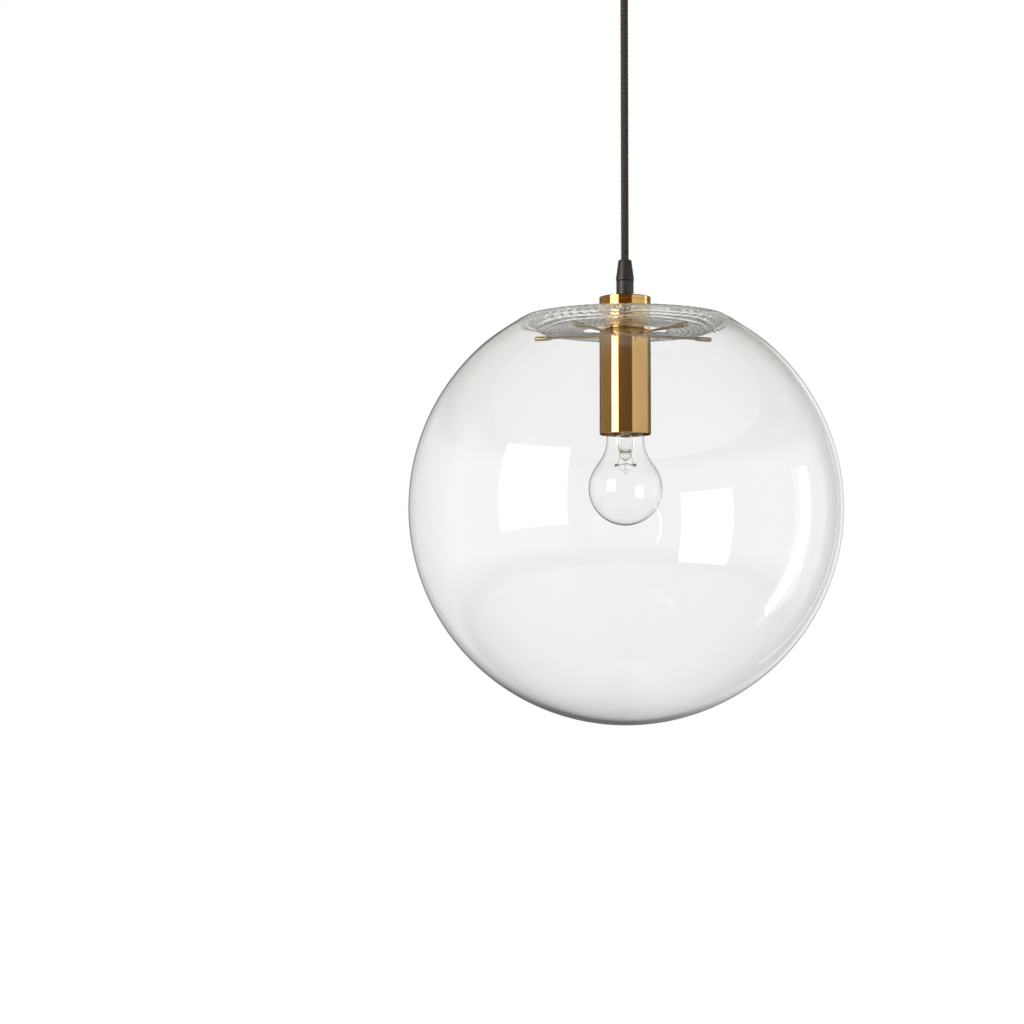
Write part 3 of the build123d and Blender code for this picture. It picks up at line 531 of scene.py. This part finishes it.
def ripple(vertices):
    """Lifts the pressed-in top in wandering rings, as blown glass does there, and softens its shoulder."""
    x, y, z = vertices.T
    radius = np.hypot(x, y)
    turn = np.arctan2(y, x)
    height = z - CENTRE_Z
    inside_neck = fade(radius, NECK_R + 1.5 * MM, NECK_R + 8.0 * MM)
    outside_crest = 1.0 - fade(radius, CREST_R + 3.0 * MM, CREST_R + 20.0 * MM)
    strength = inside_neck * outside_crest * (height > 0.0)
    wander = 0.7 * np.sin(3.0 * turn + 1.0) + 0.5 * np.sin(7.0 * turn + 2.0)
    rings = np.sin(FULL_TURN * (radius + 0.45 * height) / RIPPLE_LENGTH + wander)
    uneven = 0.75 + 0.25 * np.sin(5.0 * turn + 90.0 * radius / CREST_R)
    flutes = np.sin(FLUTE_COUNT * turn + FULL_TURN * (radius + height) / (2.0 * RIPPLE_LENGTH))
    grain = np.random.default_rng(GRAIN_SEED).uniform(0.0, 2.0, len(vertices))
    relief = RIPPLE_HEIGHT * (1.0 + rings * uneven) + FLUTE_HEIGHT * (1.0 + flutes) + GRAIN_HEIGHT * grain
    shoulder = fade(radius, CREST_R - 3.0 * MM, CREST_R + 4.0 * MM)
    shoulder *= (1.0 - fade(radius, CREST_R + 4.0 * MM, CREST_R + 42.0 * MM)) * (height > 0.0)
    vertices[:, 2] += strength * relief - SHOULDER_DROP * shoulder


def add_globe():
    """Blown sphere whose top is pressed in to a flat dish with an open neck in its middle."""
    inner_r = GLOBE_R - GLOBE_WALL
    floor_top = DISH_UNDER + GLOBE_WALL
    crest_z = math.sqrt(GLOBE_R**2 - CREST_R**2)
    slope = Vector((DISH_R - CREST_R, floor_top - crest_z)).normalized()
    inner_start = Vector((CREST_R, crest_z)) + Vector((-slope.y, slope.x)) * GLOBE_WALL
    foot = inner_start + slope * ((inner_start.y - DISH_UNDER) / -slope.y)
    half_b = inner_start.dot(slope)
    back = -half_b - math.sqrt(half_b**2 - inner_start.length_squared + inner_r**2)
    inner_crest = inner_start + slope * back
    outside = sphere_run(GLOBE_R, CREST_R + CREST_ROUNDING)
    inside = sphere_run(inner_r, inner_crest.x + CREST_ROUNDING)
    top = rounded(
        [
            outside[-1],
            (CREST_R, crest_z),
            (DISH_R, floor_top),
            (NECK_R, floor_top),
            (NECK_R, DISH_UNDER),
            foot,
            inner_crest,
            inside[-1],
        ],
        [CREST_ROUNDING, DISH_ROUNDING, RIM_ROUNDING, RIM_ROUNDING, DISH_ROUNDING, CREST_ROUNDING],
    )
    outline = outside[:-1] + refined(top, DISH_STEP)[:-1] + inside[::-1]
    outline = [(p.x, p.y + CENTRE_Z) for p in outline]
    vertices = spin(outline, GLOBE_SEGMENTS)
    ripple(vertices)
    faces = tube_faces(len(outline), GLOBE_SEGMENTS, True)
    globe = add_mesh("glass_globe", vertices, faces, GLOBE_GLASS, "globe")
    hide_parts("globe")


add_globe()


# ---------------------------------------------------------------------------
# Tube, top cap, canopy and cord grips
# ---------------------------------------------------------------------------

TUBE_WALL = 1.0 * MM
TUBE_LIP = 0.45 * MM
LIP_STEPS = 6
TUBE_COLUMNS = 360           # one for each degree
SLOT_HALF_COLUMNS = 4
SLOT_BELOW = 1.6 * MM        # below and above the arms' height
SLOT_ABOVE = 18.4 * MM
ROD_R = 5.0 * MM
TURNED_SEGMENTS = 240
TIP_SEGMENTS = 48
TIP_HALF_LENGTH = 7.25 * MM


def arm_bearing(number):
    """Direction of an arm in whole degrees."""
    tip = middle(f"arm_tip_{number}")
    return round(math.degrees(math.atan2(tip.y, tip.x)))


def add_tube():
    """Thin tube with a rounded lower lip and an upright slot for each arm."""
    rows = []
    for step in range(LIP_STEPS + 1):
        angle = math.pi / 2.0 * step / LIP_STEPS
        height = tube_low[2] + TUBE_LIP * (1.0 - math.cos(angle))
        rows.append((height, TUBE_R - TUBE_LIP * (1.0 - math.sin(angle))))
    slot_bottom, slot_top = ARM_Z - SLOT_BELOW, ARM_Z + SLOT_ABOVE
    rows += [(slot_bottom, TUBE_R), (slot_top, TUBE_R), (tube_high[2], TUBE_R)]
    slot_columns = set()
    for number in ARM_NUMBERS:
        for column in range(-SLOT_HALF_COLUMNS, SLOT_HALF_COLUMNS):
            slot_columns.add((arm_bearing(number) + column) % TUBE_COLUMNS)
    slot_row = len(rows) - 3

    def solid(row, column):
        if not 0 <= row < len(rows) - 1:
            return False
        return row != slot_row or column % TUBE_COLUMNS not in slot_columns

    def corner(row, column, inner):
        return (row * TUBE_COLUMNS + column % TUBE_COLUMNS) * 2 + inner

    vertices = []
    for height, outer_r in rows:
        for column in range(TUBE_COLUMNS):
            angle = math.radians(column)
            for radius in (outer_r, TUBE_R - TUBE_WALL):
                vertices.append((radius * math.cos(angle), radius * math.sin(angle), height))
    faces = []
    for row in range(len(rows) - 1):
        for column in range(TUBE_COLUMNS):
            if not solid(row, column):
                continue
            around = [(row, column), (row, column + 1), (row + 1, column + 1), (row + 1, column)]
            faces.append(tuple(corner(*place, 0) for place in around))
            faces.append(tuple(corner(*place, 1) for place in reversed(around)))
            neighbours = [(row - 1, column), (row, column + 1), (row + 1, column), (row, column - 1)]
            for index, neighbour in enumerate(neighbours):
                if not solid(*neighbour):
                    first, second = around[index], around[(index + 1) % 4]
                    edge = [(first, 0), (first, 1), (second, 1), (second, 0)]
                    faces.append(tuple(corner(*place, inner) for place, inner in edge))
    tube = add_mesh("brass_tube", vertices, faces, BRASS, "hanging_lamp")
    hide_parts("body_tube")


def add_cap():
    """Round cap with a narrow groove under it and a spigot that fits the tube's bore."""
    low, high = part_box("top_cap")
    thickness, groove, spigot_wall = 3.4 * MM, 0.5 * MM, 2.0 * MM
    bore_r = TUBE_R - TUBE_WALL
    under = high[2] - thickness
    outline = rounded(
        [
            (ROD_R, under),
            (ROD_R, high[2]),
            (TUBE_R, high[2]),
            (TUBE_R, under),
            (bore_r, under),
            (bore_r, low[2]),
            (bore_r - spigot_wall, low[2]),
            (bore_r - spigot_wall, under - groove),
            (ROD_R, under - groove),
        ],
        [0.0, 0.6 * MM, 0.25 * MM, 0.0, 0.0, 0.0, 0.0],
    )
    cap = lathe("brass_cap", outline, TURNED_SEGMENTS, BRASS, "hanging_lamp", "polished_brass")
    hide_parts("top_cap")


def add_canopy():
    """Shallow spun cup with a rounded edge and a hole for the cord grip."""
    low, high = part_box("ceiling_canopy")
    radius = half_width("ceiling_canopy")
    wall, rounding = 1.0 * MM, 3.0 * MM
    floor = low[2] + wall
    outline = rounded(
        [
            (radius, (low[2] + high[2]) / 2.0),
            (radius, low[2]),
            (ROD_R, low[2]),
            (ROD_R, floor),
            (radius - wall, floor),
            (radius - wall, high[2]),
            (radius, high[2]),
        ],
        [rounding, 0.0, 0.0, rounding - wall, 0.0],
    )
    canopy = lathe("spun_canopy", outline, TURNED_SEGMENTS, BRASS, "canopy", "polished_brass")
    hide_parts("ceiling_canopy")


def add_grip(prefix, body, tip_up):
    """Cord grip: a round gland body and the tapered nut that clamps the cord."""
    nut_low, nut_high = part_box(f"{prefix}_grip_nut")
    base, tip = (nut_low[2], nut_high[2]) if tip_up else (nut_high[2], nut_low[2])
    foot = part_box(f"{prefix}_grip_body" if tip_up else "ceiling_canopy")[0][2]
    way = 1.0 if tip_up else -1.0
    nut_r, tip_r, gland_r = half_width(f"{prefix}_grip_nut"), 5.25 * MM, 7.0 * MM
    bore_r = CORD_R + 0.4 * MM
    band, seam = 2.0 * MM, 0.35 * MM
    nut = lathe(
        f"{prefix}_clamp_nut",
        rounded(
            [
                (bore_r, (base + tip) / 2.0),
                (bore_r, base + way * seam),
                (nut_r, base + way * seam),
                (nut_r, base + way * band),
                (tip_r, tip),
                (bore_r, tip),
            ],
            [0.0, 0.3 * MM, 1.2 * MM, 1.6 * MM],
        ),
        TURNED_SEGMENTS, BLACK, body, "black_plastic",
    )
    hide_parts(f"{prefix}_grip_nut")
    gland = lathe(
        f"{prefix}_gland_body",
        rounded(
            [(bore_r, foot), (gland_r, foot), (gland_r, base), (bore_r, base)],
            [0.25 * MM, 0.4 * MM],
        ),
        TURNED_SEGMENTS, BLACK, body, "black_plastic",
    )
    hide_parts(f"{prefix}_grip_body")


def add_arm_tips():
    """Turned end pieces of the arms, each a round-ended barrel with a shallow neck at the rod's end."""
    for number in ARM_NUMBERS:
        low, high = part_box(f"arm_tip_{number}")
        radius = (high[2] - low[2]) / 2.0
        centre = middle(f"arm_tip_{number}")
        outward = Vector((centre.x, centre.y, 0.0)).normalized()
        outline = rounded(
            [
                (0.0, -TIP_HALF_LENGTH),
                (radius * 0.78, -TIP_HALF_LENGTH),
                (radius * 0.92, 2.2 * MM - TIP_HALF_LENGTH),
                (radius, 3.4 * MM - TIP_HALF_LENGTH),
                (radius, TIP_HALF_LENGTH),
                (0.0, TIP_HALF_LENGTH),
            ],
            [0.35 * MM, 0.8 * MM, 0.8 * MM, radius * 0.85],
        )
        tip = lathe(
            f"turned_tip_{number}", outline, TIP_SEGMENTS, SHADED_ARM_BRASS, f"arm_{number}", "polished_brass",
            origin=centre, along=outward,
        )
        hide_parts(f"arm_tip_{number}")


add_tube()
add_cap()
add_canopy()
add_grip("cord", "hanging_lamp", True)
add_grip("canopy", "canopy", False)
add_arm_tips()


# ---------------------------------------------------------------------------
# Bulb
# ---------------------------------------------------------------------------

BULB_SEGMENTS = 144
BALL_STEPS = 60
STEM_SEGMENTS = 64
BULB_WALL = 0.8 * MM
BULB_R = half_width("bulb_glass")
BULB_CENTRE_Z = bulb_low[2] + BULB_R
SHOULDER = math.radians(35.0)       # where the ball turns in to the neck
NECK_GLASS_R = 15.0 * MM
THROAT_R = 11.95 * MM
NECK_RISE = 3.3 * MM                # straight neck that shows under the tube
THROAT_RISE = 6.5 * MM              # above the tube's lower end
STEM_R = 5.9 * MM
STEM_WALL = 0.7 * MM
STEM_END_Z = CENTRE_Z + 43.5 * MM
FILAMENT_Z = CENTRE_Z + 34.7 * MM
FILAMENT_R = 8.3 * MM
BUTTON_Z = CENTRE_Z + 29.0 * MM


def bulb_outline(inset):
    """Ball, concave shoulder, neck and throat of the bulb's glass."""
    radius = BULB_R - inset
    points = []
    for step in range(BALL_STEPS):
        angle = -math.pi / 2.0 + (SHOULDER + math.pi / 2.0) * step / BALL_STEPS
        points.append(Vector((radius * math.cos(angle), BULB_CENTRE_Z + radius * math.sin(angle))))
    start = Vector((radius * math.cos(SHOULDER), BULB_CENTRE_Z + radius * math.sin(SHOULDER)))
    away = Vector((-math.sin(SHOULDER), math.cos(SHOULDER)))
    up = Vector((0.0, 1.0))
    neck = Vector((NECK_GLASS_R - inset, tube_low[2] - NECK_RISE))
    throat = Vector((THROAT_R - inset, tube_low[2] + THROAT_RISE))
    points += bezier(start, start + away * 8.5 * MM, neck - up * 10.5 * MM, neck, 24)
    points += bezier(neck, neck + up * 4.5 * MM, throat - up * 3.0 * MM, throat, 12)
    return points + [throat, Vector((THROAT_R - inset, bulb_high[2]))]


def add_bulb_glass():
    outline = bulb_outline(0.0) + bulb_outline(BULB_WALL)[::-1]
    ball = lathe("clear_bulb", outline, BULB_SEGMENTS, BULB_GLASS, "bulb", "bulb_clear_glass")
    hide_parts("bulb_glass")


def add_stem():
    """Glass stem: a tube closed by a flat press, with a rod and a small button below it."""
    stem_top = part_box("bulb_stem")[1][2]
    shoulder_z = STEM_END_Z + 4.0 * MM
    inner_r = STEM_R - STEM_WALL
    outer = rounded(
        [
            (0.0, BUTTON_Z - 1.3 * MM),
            (1.7 * MM, BUTTON_Z - 1.3 * MM),
            (1.7 * MM, BUTTON_Z + 1.3 * MM),
            (0.9 * MM, BUTTON_Z + 2.6 * MM),
            (0.9 * MM, STEM_END_Z - 6.0 * MM),
            (4.6 * MM, STEM_END_Z - 3.0 * MM),
            (5.0 * MM, STEM_END_Z + 1.0 * MM),
            (STEM_R, shoulder_z),
            (STEM_R, stem_top),
        ],
        [1.2 * MM, 0.9 * MM, 0.6 * MM, 0.6 * MM, 1.2 * MM, 1.6 * MM, 1.6 * MM],
        steps=6,
    )
    inner = rounded(
        [
            (inner_r, stem_top),
            (inner_r, shoulder_z),
            (2.0 * MM, STEM_END_Z + 2.2 * MM),
            (0.0, STEM_END_Z + 2.2 * MM),
        ],
        [2.0 * MM, 0.8 * MM],
        steps=6,
    )
    outline = outer + inner
    vertices = spin(outline, STEM_SEGMENTS)
    pressed = 1.0 - fade(vertices[:, 2], STEM_END_Z - 1.0 * MM, shoulder_z + 3.0 * MM)
    in_press = fade(vertices[:, 2], STEM_END_Z - 6.5 * MM, STEM_END_Z - 3.0 * MM)
    vertices[:, 1] *= 1.0 - 0.55 * pressed * in_press
    # The outline is open along the axis, where the rings at both of its ends are single points
    faces = tube_faces(len(outline), STEM_SEGMENTS, False)
    stem = add_mesh("glass_stem", vertices, faces, BULB_GLASS, "bulb")
    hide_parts("bulb_stem")


def filament_place(bearing, radius=FILAMENT_R, height=FILAMENT_Z):
    angle = math.radians(bearing)
    return Vector((radius * math.cos(angle), radius * math.sin(angle), height))


FILAMENT_START = 40.0        # bearings of the filament's ends, open towards the back
FILAMENT_SWEEP = -260.0
SUPPORT_BEARINGS = (-25.0, -90.0, -155.0)


def add_bulb_wires():
    """Two lead-in wires with hooked ends, and three thin supports from the glass button."""
    lines = []
    for bearing in (FILAMENT_START, FILAMENT_START + FILAMENT_SWEEP):
        hook = filament_place(bearing)
        side = 1.0 if hook.x > 0 else -1.0
        lines.append([
            (side * 3.6 * MM, 0.0, STEM_END_Z + 20.0 * MM),
            (side * 3.8 * MM, 0.0, STEM_END_Z - 2.0 * MM),
            (side * 5.4 * MM, 0.6 * MM, STEM_END_Z - 4.0 * MM),
            (side * 5.5 * MM, 2.2 * MM, FILAMENT_Z + 2.6 * MM),
            (hook.x * 0.97, hook.y * 0.92, FILAMENT_Z + 1.2 * MM),
            (hook.x, hook.y, FILAMENT_Z + 0.4 * MM),
            (hook.x, hook.y, FILAMENT_Z - 0.9 * MM),
        ])
    leads = add_wires("lead_in_wires", lines, 0.26 * MM, 10, NICKEL, "bulb")
    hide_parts("bulb_wires")
    lines = []
    for bearing in SUPPORT_BEARINGS:
        near = filament_place(bearing, 1.2 * MM, BUTTON_Z)
        far = filament_place(bearing)
        curl = filament_place(bearing, FILAMENT_R + 0.7 * MM, FILAMENT_Z + 0.5 * MM)
        sagging = near.lerp(far, 0.5) - Vector((0.0, 0.0, 0.5 * MM))
        lines.append([near, sagging, far - Vector((0.0, 0.0, 0.6 * MM)), curl])
    add_wires("filament_supports", lines, 0.12 * MM, 8, TUNGSTEN, "bulb")


def add_filament():
    """Coiled tungsten wire strung in an open ring, sagging a little between its supports."""
    coil_r, wire_r, turns, steps_a_turn = 0.42 * MM, 0.11 * MM, 62, 12
    holds = [FILAMENT_START, *SUPPORT_BEARINGS, FILAMENT_START + FILAMENT_SWEEP]
    spacing = abs(FILAMENT_SWEEP) / (len(holds) - 1)
    line = []
    for step in range(turns * steps_a_turn + 1):
        part = step / (turns * steps_a_turn)
        bearing = FILAMENT_START + FILAMENT_SWEEP * part
        sag = 0.7 * MM * math.sin(math.pi * abs(FILAMENT_SWEEP) * part / spacing) ** 2
        angle = FULL_TURN * step / steps_a_turn
        line.append(filament_place(
            bearing, FILAMENT_R + coil_r * math.cos(angle), FILAMENT_Z - sag + coil_r * math.sin(angle)
        ))
    filament = add_wires("coiled_filament", [line], wire_r, 6, TUNGSTEN, "bulb")
    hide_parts("bulb_filament")


add_bulb_glass()
add_stem()
add_bulb_wires()
add_filament()


# ---------------------------------------------------------------------------
# Finishes of the CAD pieces that show as they are
# ---------------------------------------------------------------------------

FINISHES = {
    "arm_hub": BRASS,
    "canopy_screws": BRASS,
    "lampholder_contact": BRASS,
    "terminal_inserts": BRASS,
    "cord_anchor": BLACK,
    "lampholder_cover": PHENOLIC,
    "lampholder_sleeve": PHENOLIC,
    "bulb_insulator": PHENOLIC,
    "lampholder_core": PORCELAIN,
    "terminal_block": TERMINAL,
    "screw_shell": NICKEL,
    "bulb_cap": NICKEL,
    "bulb_contact": NICKEL,
    "lamp_lead_live": LEAD_BROWN,
    "ceiling_lead_live": LEAD_BROWN,
    "lamp_lead_neutral": LEAD_BLUE,
    "ceiling_lead_neutral": LEAD_BLUE,
    "lamp_lead_earth": LEAD_EARTH,
    "ceiling_lead_earth": LEAD_EARTH,
}
for number in ARM_NUMBERS:
    # The arm rods take the brass whose darker tone is painted shade
    FINISHES[f"arm_rod_{number}"] = SHADED_ARM_BRASS

for node_name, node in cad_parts.items():
    node.data.materials.clear()
    node.data.materials.append(FINISHES.get(node_name, ZINC))


# ---------------------------------------------------------------------------
# Studio: white all round to the eye, with walls, a window and a strip light in reflections
# ---------------------------------------------------------------------------

# Levels by bearing in degrees: 0 is behind the camera, +90 on its right, 180 behind the light.
# Glass shows the wall between the floor's edge and the ceiling's edge, and each has its own levels.
FLOOR_EDGE = -24.0
CEILING_EDGE = 20.0
GLASS_WALL = [
    (-180, 0.15), (-172, 0.15), (-162, 0.6), (-150, 1.0), (-125, 1.0), (-90, 0.75), (-60, 0.6), (0, 0.5),
    (60, 0.65), (112, 0.95), (126, 0.9), (136, 0.65), (150, 0.7), (164, 1.0), (174, 0.3), (180, 0.15),
]
GLASS_CEILING = [
    (-180, (0.50, 0.48, 0.43)), (-160, (0.80, 0.78, 0.74)), (-90, (0.50, 0.48, 0.44)),
    (0, (0.14, 0.11, 0.06)), (90, (0.36, 0.34, 0.30)), (140, (0.66, 0.64, 0.60)), (180, (0.50, 0.48, 0.43)),
]
GLASS_FLOOR = [
    (-180, 0.35), (-168, 0.40), (-158, 0.65), (-110, 0.45), (-40, 0.28), (40, 0.24), (100, 0.42),
    (140, 0.65), (165, 0.8), (180, 0.45),
]
# The metal shows warmer levels, with dark stretches well to both sides
METAL_WALL = [
    (-180, (0.03, 0.03, 0.03)), (-150, (0.05, 0.04, 0.035)), (-142, (0.28, 0.24, 0.17)),
    (-64, (0.28, 0.235, 0.16)), (-27, (0.14, 0.09, 0.035)), (0, (0.13, 0.08, 0.03)),
    (29, (0.10, 0.055, 0.02)), (34, (0.84, 0.88, 0.94)), (70, (0.75, 0.79, 0.84)),
    (116, (0.70, 0.72, 0.73)), (124, (0.26, 0.22, 0.18)), (150, (0.10, 0.08, 0.06)),
    (180, (0.03, 0.03, 0.03)),
]
METAL_SHADE = 0.86           # how much of the light the metal loses above and below its wall
# Bright panels: lowest and highest bearing, lowest and highest elevation, brightness, and whether
# the first wall of glass shows it or what lies behind that wall
PANELS = [
    (-70.0, -30.0, -12.0, 27.0, 4.0, True),
    (-63.0, -31.0, -12.0, 26.0, 6.0, False),
    (104.0, 113.0, -35.0, 14.0, 3.0, True),
    (149.0, 152.0, -28.0, 14.0, 1.3, True),
]
PANEL_SOFTNESS = 1.2
EDGE_SOFTNESS = 2.5
# What is seen through glass darkens to these levels as it comes from higher up or further down: the
# first for all glass, the second for what lies behind more than the globe's two walls
HIGH_ELEVATION = (38.0, 62.0)
HIGH_LEVEL = (0.66, 0.58, 0.43)
BENT_ELEVATION = (9.0, 28.0)
BENT_LEVEL = (0.46, 0.38, 0.24)
SIDE_LIGHT = [               # what matt surfaces get
    (-180, 0.9), (-100, 1.35), (-30, 1.25), (10, 0.8), (60, 0.35), (120, 0.35), (160, 0.8), (180, 0.9),
]
# Faces of glass a ray has crossed, one for each side of a wall
BEFORE_GLASS = 0.5
PAST_FIRST_WALL = 2.5
AROUND_METAL = (3.5, 0.6)    # middle and spread
PAST_TWO_WALLS = 4.5


class Studio:
    """The world's node tree, with short calls that add nodes to it."""

    def __init__(self):
        world = bpy.data.worlds.new("studio")
        bpy.context.scene.world = world
        world.use_nodes = True
        self.tree = world.node_tree
        self.background = next(n for n in self.tree.nodes if n.type == "BACKGROUND")
        self.path = self.tree.nodes.new("ShaderNodeLightPath").outputs

    def math(self, operation, *values):
        made = self.tree.nodes.new("ShaderNodeMath")
        made.operation = operation
        for socket, value in zip(made.inputs, values):
            if isinstance(value, (int, float)):
                socket.default_value = value
            else:
                self.tree.links.new(value, socket)
        return made.outputs[0]

    def mix(self, factor, first, second):
        made = self.tree.nodes.new("ShaderNodeMix")
        made.data_type = "RGBA"
        self.tree.links.new(factor, made.inputs["Factor"])
        colours = [socket for socket in made.inputs if socket.type == "RGBA"]
        for socket, value in zip(colours, (first, second)):
            if isinstance(value, float):
                socket.default_value = (value, value, value, 1.0)
            elif isinstance(value, tuple):
                socket.default_value = (*value, 1.0)
            else:
                self.tree.links.new(value, socket)
        return next(socket for socket in made.outputs if socket.type == "RGBA")

    def ramp(self, turned, levels):
        made = self.tree.nodes.new("ShaderNodeValToRGB")
        stops = made.color_ramp.elements
        self.tree.links.new(turned, made.inputs["Fac"])
        for index, (bearing, level) in enumerate(levels):
            place = bearing / 360.0 + 0.5
            stop = stops[index] if index < 2 else stops.new(place)
            stop.position = place
            stop.color = (*level, 1.0) if isinstance(level, tuple) else (level, level, level, 1.0)
        return made.outputs["Color"]

    def rise(self, value, start, end):
        """0 below start, 1 above end."""
        share = self.math("DIVIDE", self.math("SUBTRACT", value, start), end - start)
        return self.math("MINIMUM", self.math("MAXIMUM", share, 0.0), 1.0)

    def within(self, value, low, high, softness):
        """1 between low and high, with soft edges."""
        above_low = self.rise(value, low, low + softness)
        below_high = self.rise(self.math("MULTIPLY", value, -1.0), -high, softness - high)
        return self.math("MULTIPLY", above_low, below_high)


def add_world():
    """Shows glass, metal and matt surfaces their own surroundings, and the camera plain white."""
    studio = Studio()
    coordinates = studio.tree.nodes.new("ShaderNodeTexCoord")
    split = studio.tree.nodes.new("ShaderNodeSeparateXYZ")
    studio.tree.links.new(coordinates.outputs["Generated"], split.inputs[0])
    along_x, along_y, along_z = split.outputs
    degrees = 180.0 / math.pi
    towards = studio.math("MULTIPLY", along_y, -1.0)
    bearing = studio.math("MULTIPLY", studio.math("ARCTAN2", along_x, towards), degrees)
    elevation = studio.math("MULTIPLY", studio.math("ARCSINE", along_z), degrees)
    turned = studio.math("MULTIPLY_ADD", bearing, 1.0 / 360.0, 0.5)

    above_floor = studio.rise(elevation, FLOOR_EDGE - EDGE_SOFTNESS, FLOOR_EDGE + EDGE_SOFTNESS)
    above_wall = studio.rise(elevation, CEILING_EDGE - EDGE_SOFTNESS, CEILING_EDGE + EDGE_SOFTNESS)
    room = studio.mix(above_floor, studio.ramp(turned, GLASS_FLOOR), studio.ramp(turned, GLASS_WALL))
    room = studio.mix(above_wall, room, studio.ramp(turned, GLASS_CEILING))

    # A mirror reflection straight off the glass is singular, and one off the metal isn't. A reflection
    # off the metal inside the globe crosses three or four faces of glass.
    depth = studio.path["Transmission Depth"]
    outside = studio.math("LESS_THAN", depth, BEFORE_GLASS)
    rough = studio.math("SUBTRACT", 1.0, studio.path["Is Singular Ray"])
    inside = studio.math("COMPARE", depth, *AROUND_METAL)
    off_metal = studio.math("MAXIMUM", inside, studio.math("MULTIPLY", outside, rough))
    past_wall = studio.math("MAXIMUM", above_wall, studio.math("SUBTRACT", 1.0, above_floor))
    shaded = studio.math("MULTIPLY", past_wall, METAL_SHADE)
    shown = studio.mix(off_metal, room, studio.mix(shaded, studio.ramp(turned, METAL_WALL), 0.0))

    first_wall = studio.math("LESS_THAN", depth, PAST_FIRST_WALL)
    behind_it = studio.math("SUBTRACT", 1.0, first_wall)
    for low_b, high_b, low_e, high_e, level, in_first in PANELS:
        mask = studio.math(
            "MULTIPLY",
            studio.within(bearing, low_b, high_b, PANEL_SOFTNESS),
            studio.within(elevation, low_e, high_e, PANEL_SOFTNESS),
        )
        mask = studio.math("MULTIPLY", mask, first_wall if in_first else behind_it)
        shown = studio.mix(mask, shown, level)

    high_up = studio.rise(studio.math("ABSOLUTE", elevation), *HIGH_ELEVATION)
    passed = studio.mix(high_up, 1.0, HIGH_LEVEL)
    through_more = studio.math("GREATER_THAN", depth, PAST_TWO_WALLS)
    bent = studio.rise(studio.math("ABSOLUTE", elevation), *BENT_ELEVATION)
    passed = studio.mix(studio.math("MULTIPLY", through_more, bent), passed, BENT_LEVEL)
    passed = studio.mix(studio.path["Is Diffuse Ray"], passed, studio.ramp(turned, SIDE_LIGHT))
    reflected = studio.math("GREATER_THAN", studio.path["Glossy Depth"], 0.5)
    colour = studio.mix(reflected, passed, shown)
    colour = studio.mix(studio.path["Is Camera Ray"], colour, 1.0)
    studio.tree.links.new(colour, studio.background.inputs["Color"])


add_world()


FLOOR_R = 2.2
FLOOR_DROP = 1.2             # below the globe
FLOOR_TONE = 0.93


def add_floor():
    """Pale round floor well below the light."""
    mesh = bpy.data.meshes.new("studio_floor")
    working = bmesh.new()
    bmesh.ops.create_circle(working, cap_ends=True, segments=128, radius=FLOOR_R)
    working.to_mesh(mesh)
    working.free()
    floor = bpy.data.objects.new("studio_floor", mesh)
    floor.location = (0.0, 0.0, globe_low[2] - FLOOR_DROP)
    floor.visible_glossy = False
    bpy.context.scene.collection.objects.link(floor)
    shader = Shader("pale_floor", (FLOOR_TONE, FLOOR_TONE, FLOOR_TONE), 0.7)
    floor.data.materials.append(shader.material)


add_floor()


KEY_PLACE = (-1.6, -2.2, CENTRE_Z + 0.8)
KEY_SIZE = (1.6, 1.2)
KEY_POWER = 70.0


def add_key_light():
    """Broad soft light, high on the camera's left, seen in no reflection."""
    data = bpy.data.lights.new("key", "AREA")
    data.shape = "RECTANGLE"
    data.size, data.size_y = KEY_SIZE
    data.energy = KEY_POWER
    key = bpy.data.objects.new("key", data)
    key.location = KEY_PLACE
    towards = Vector((0.0, 0.0, CENTRE_Z)) - key.location
    key.rotation_euler = towards.to_track_quat("-Z", "Y").to_euler()
    key.visible_glossy = False
    key.visible_transmission = False
    bpy.context.scene.collection.objects.link(key)


add_key_light()

scene = bpy.context.scene
scene.view_settings.view_transform = "Standard"
scene.cycles.max_bounces = 32
scene.cycles.transmission_bounces = 32
scene.cycles.glossy_bounces = 12
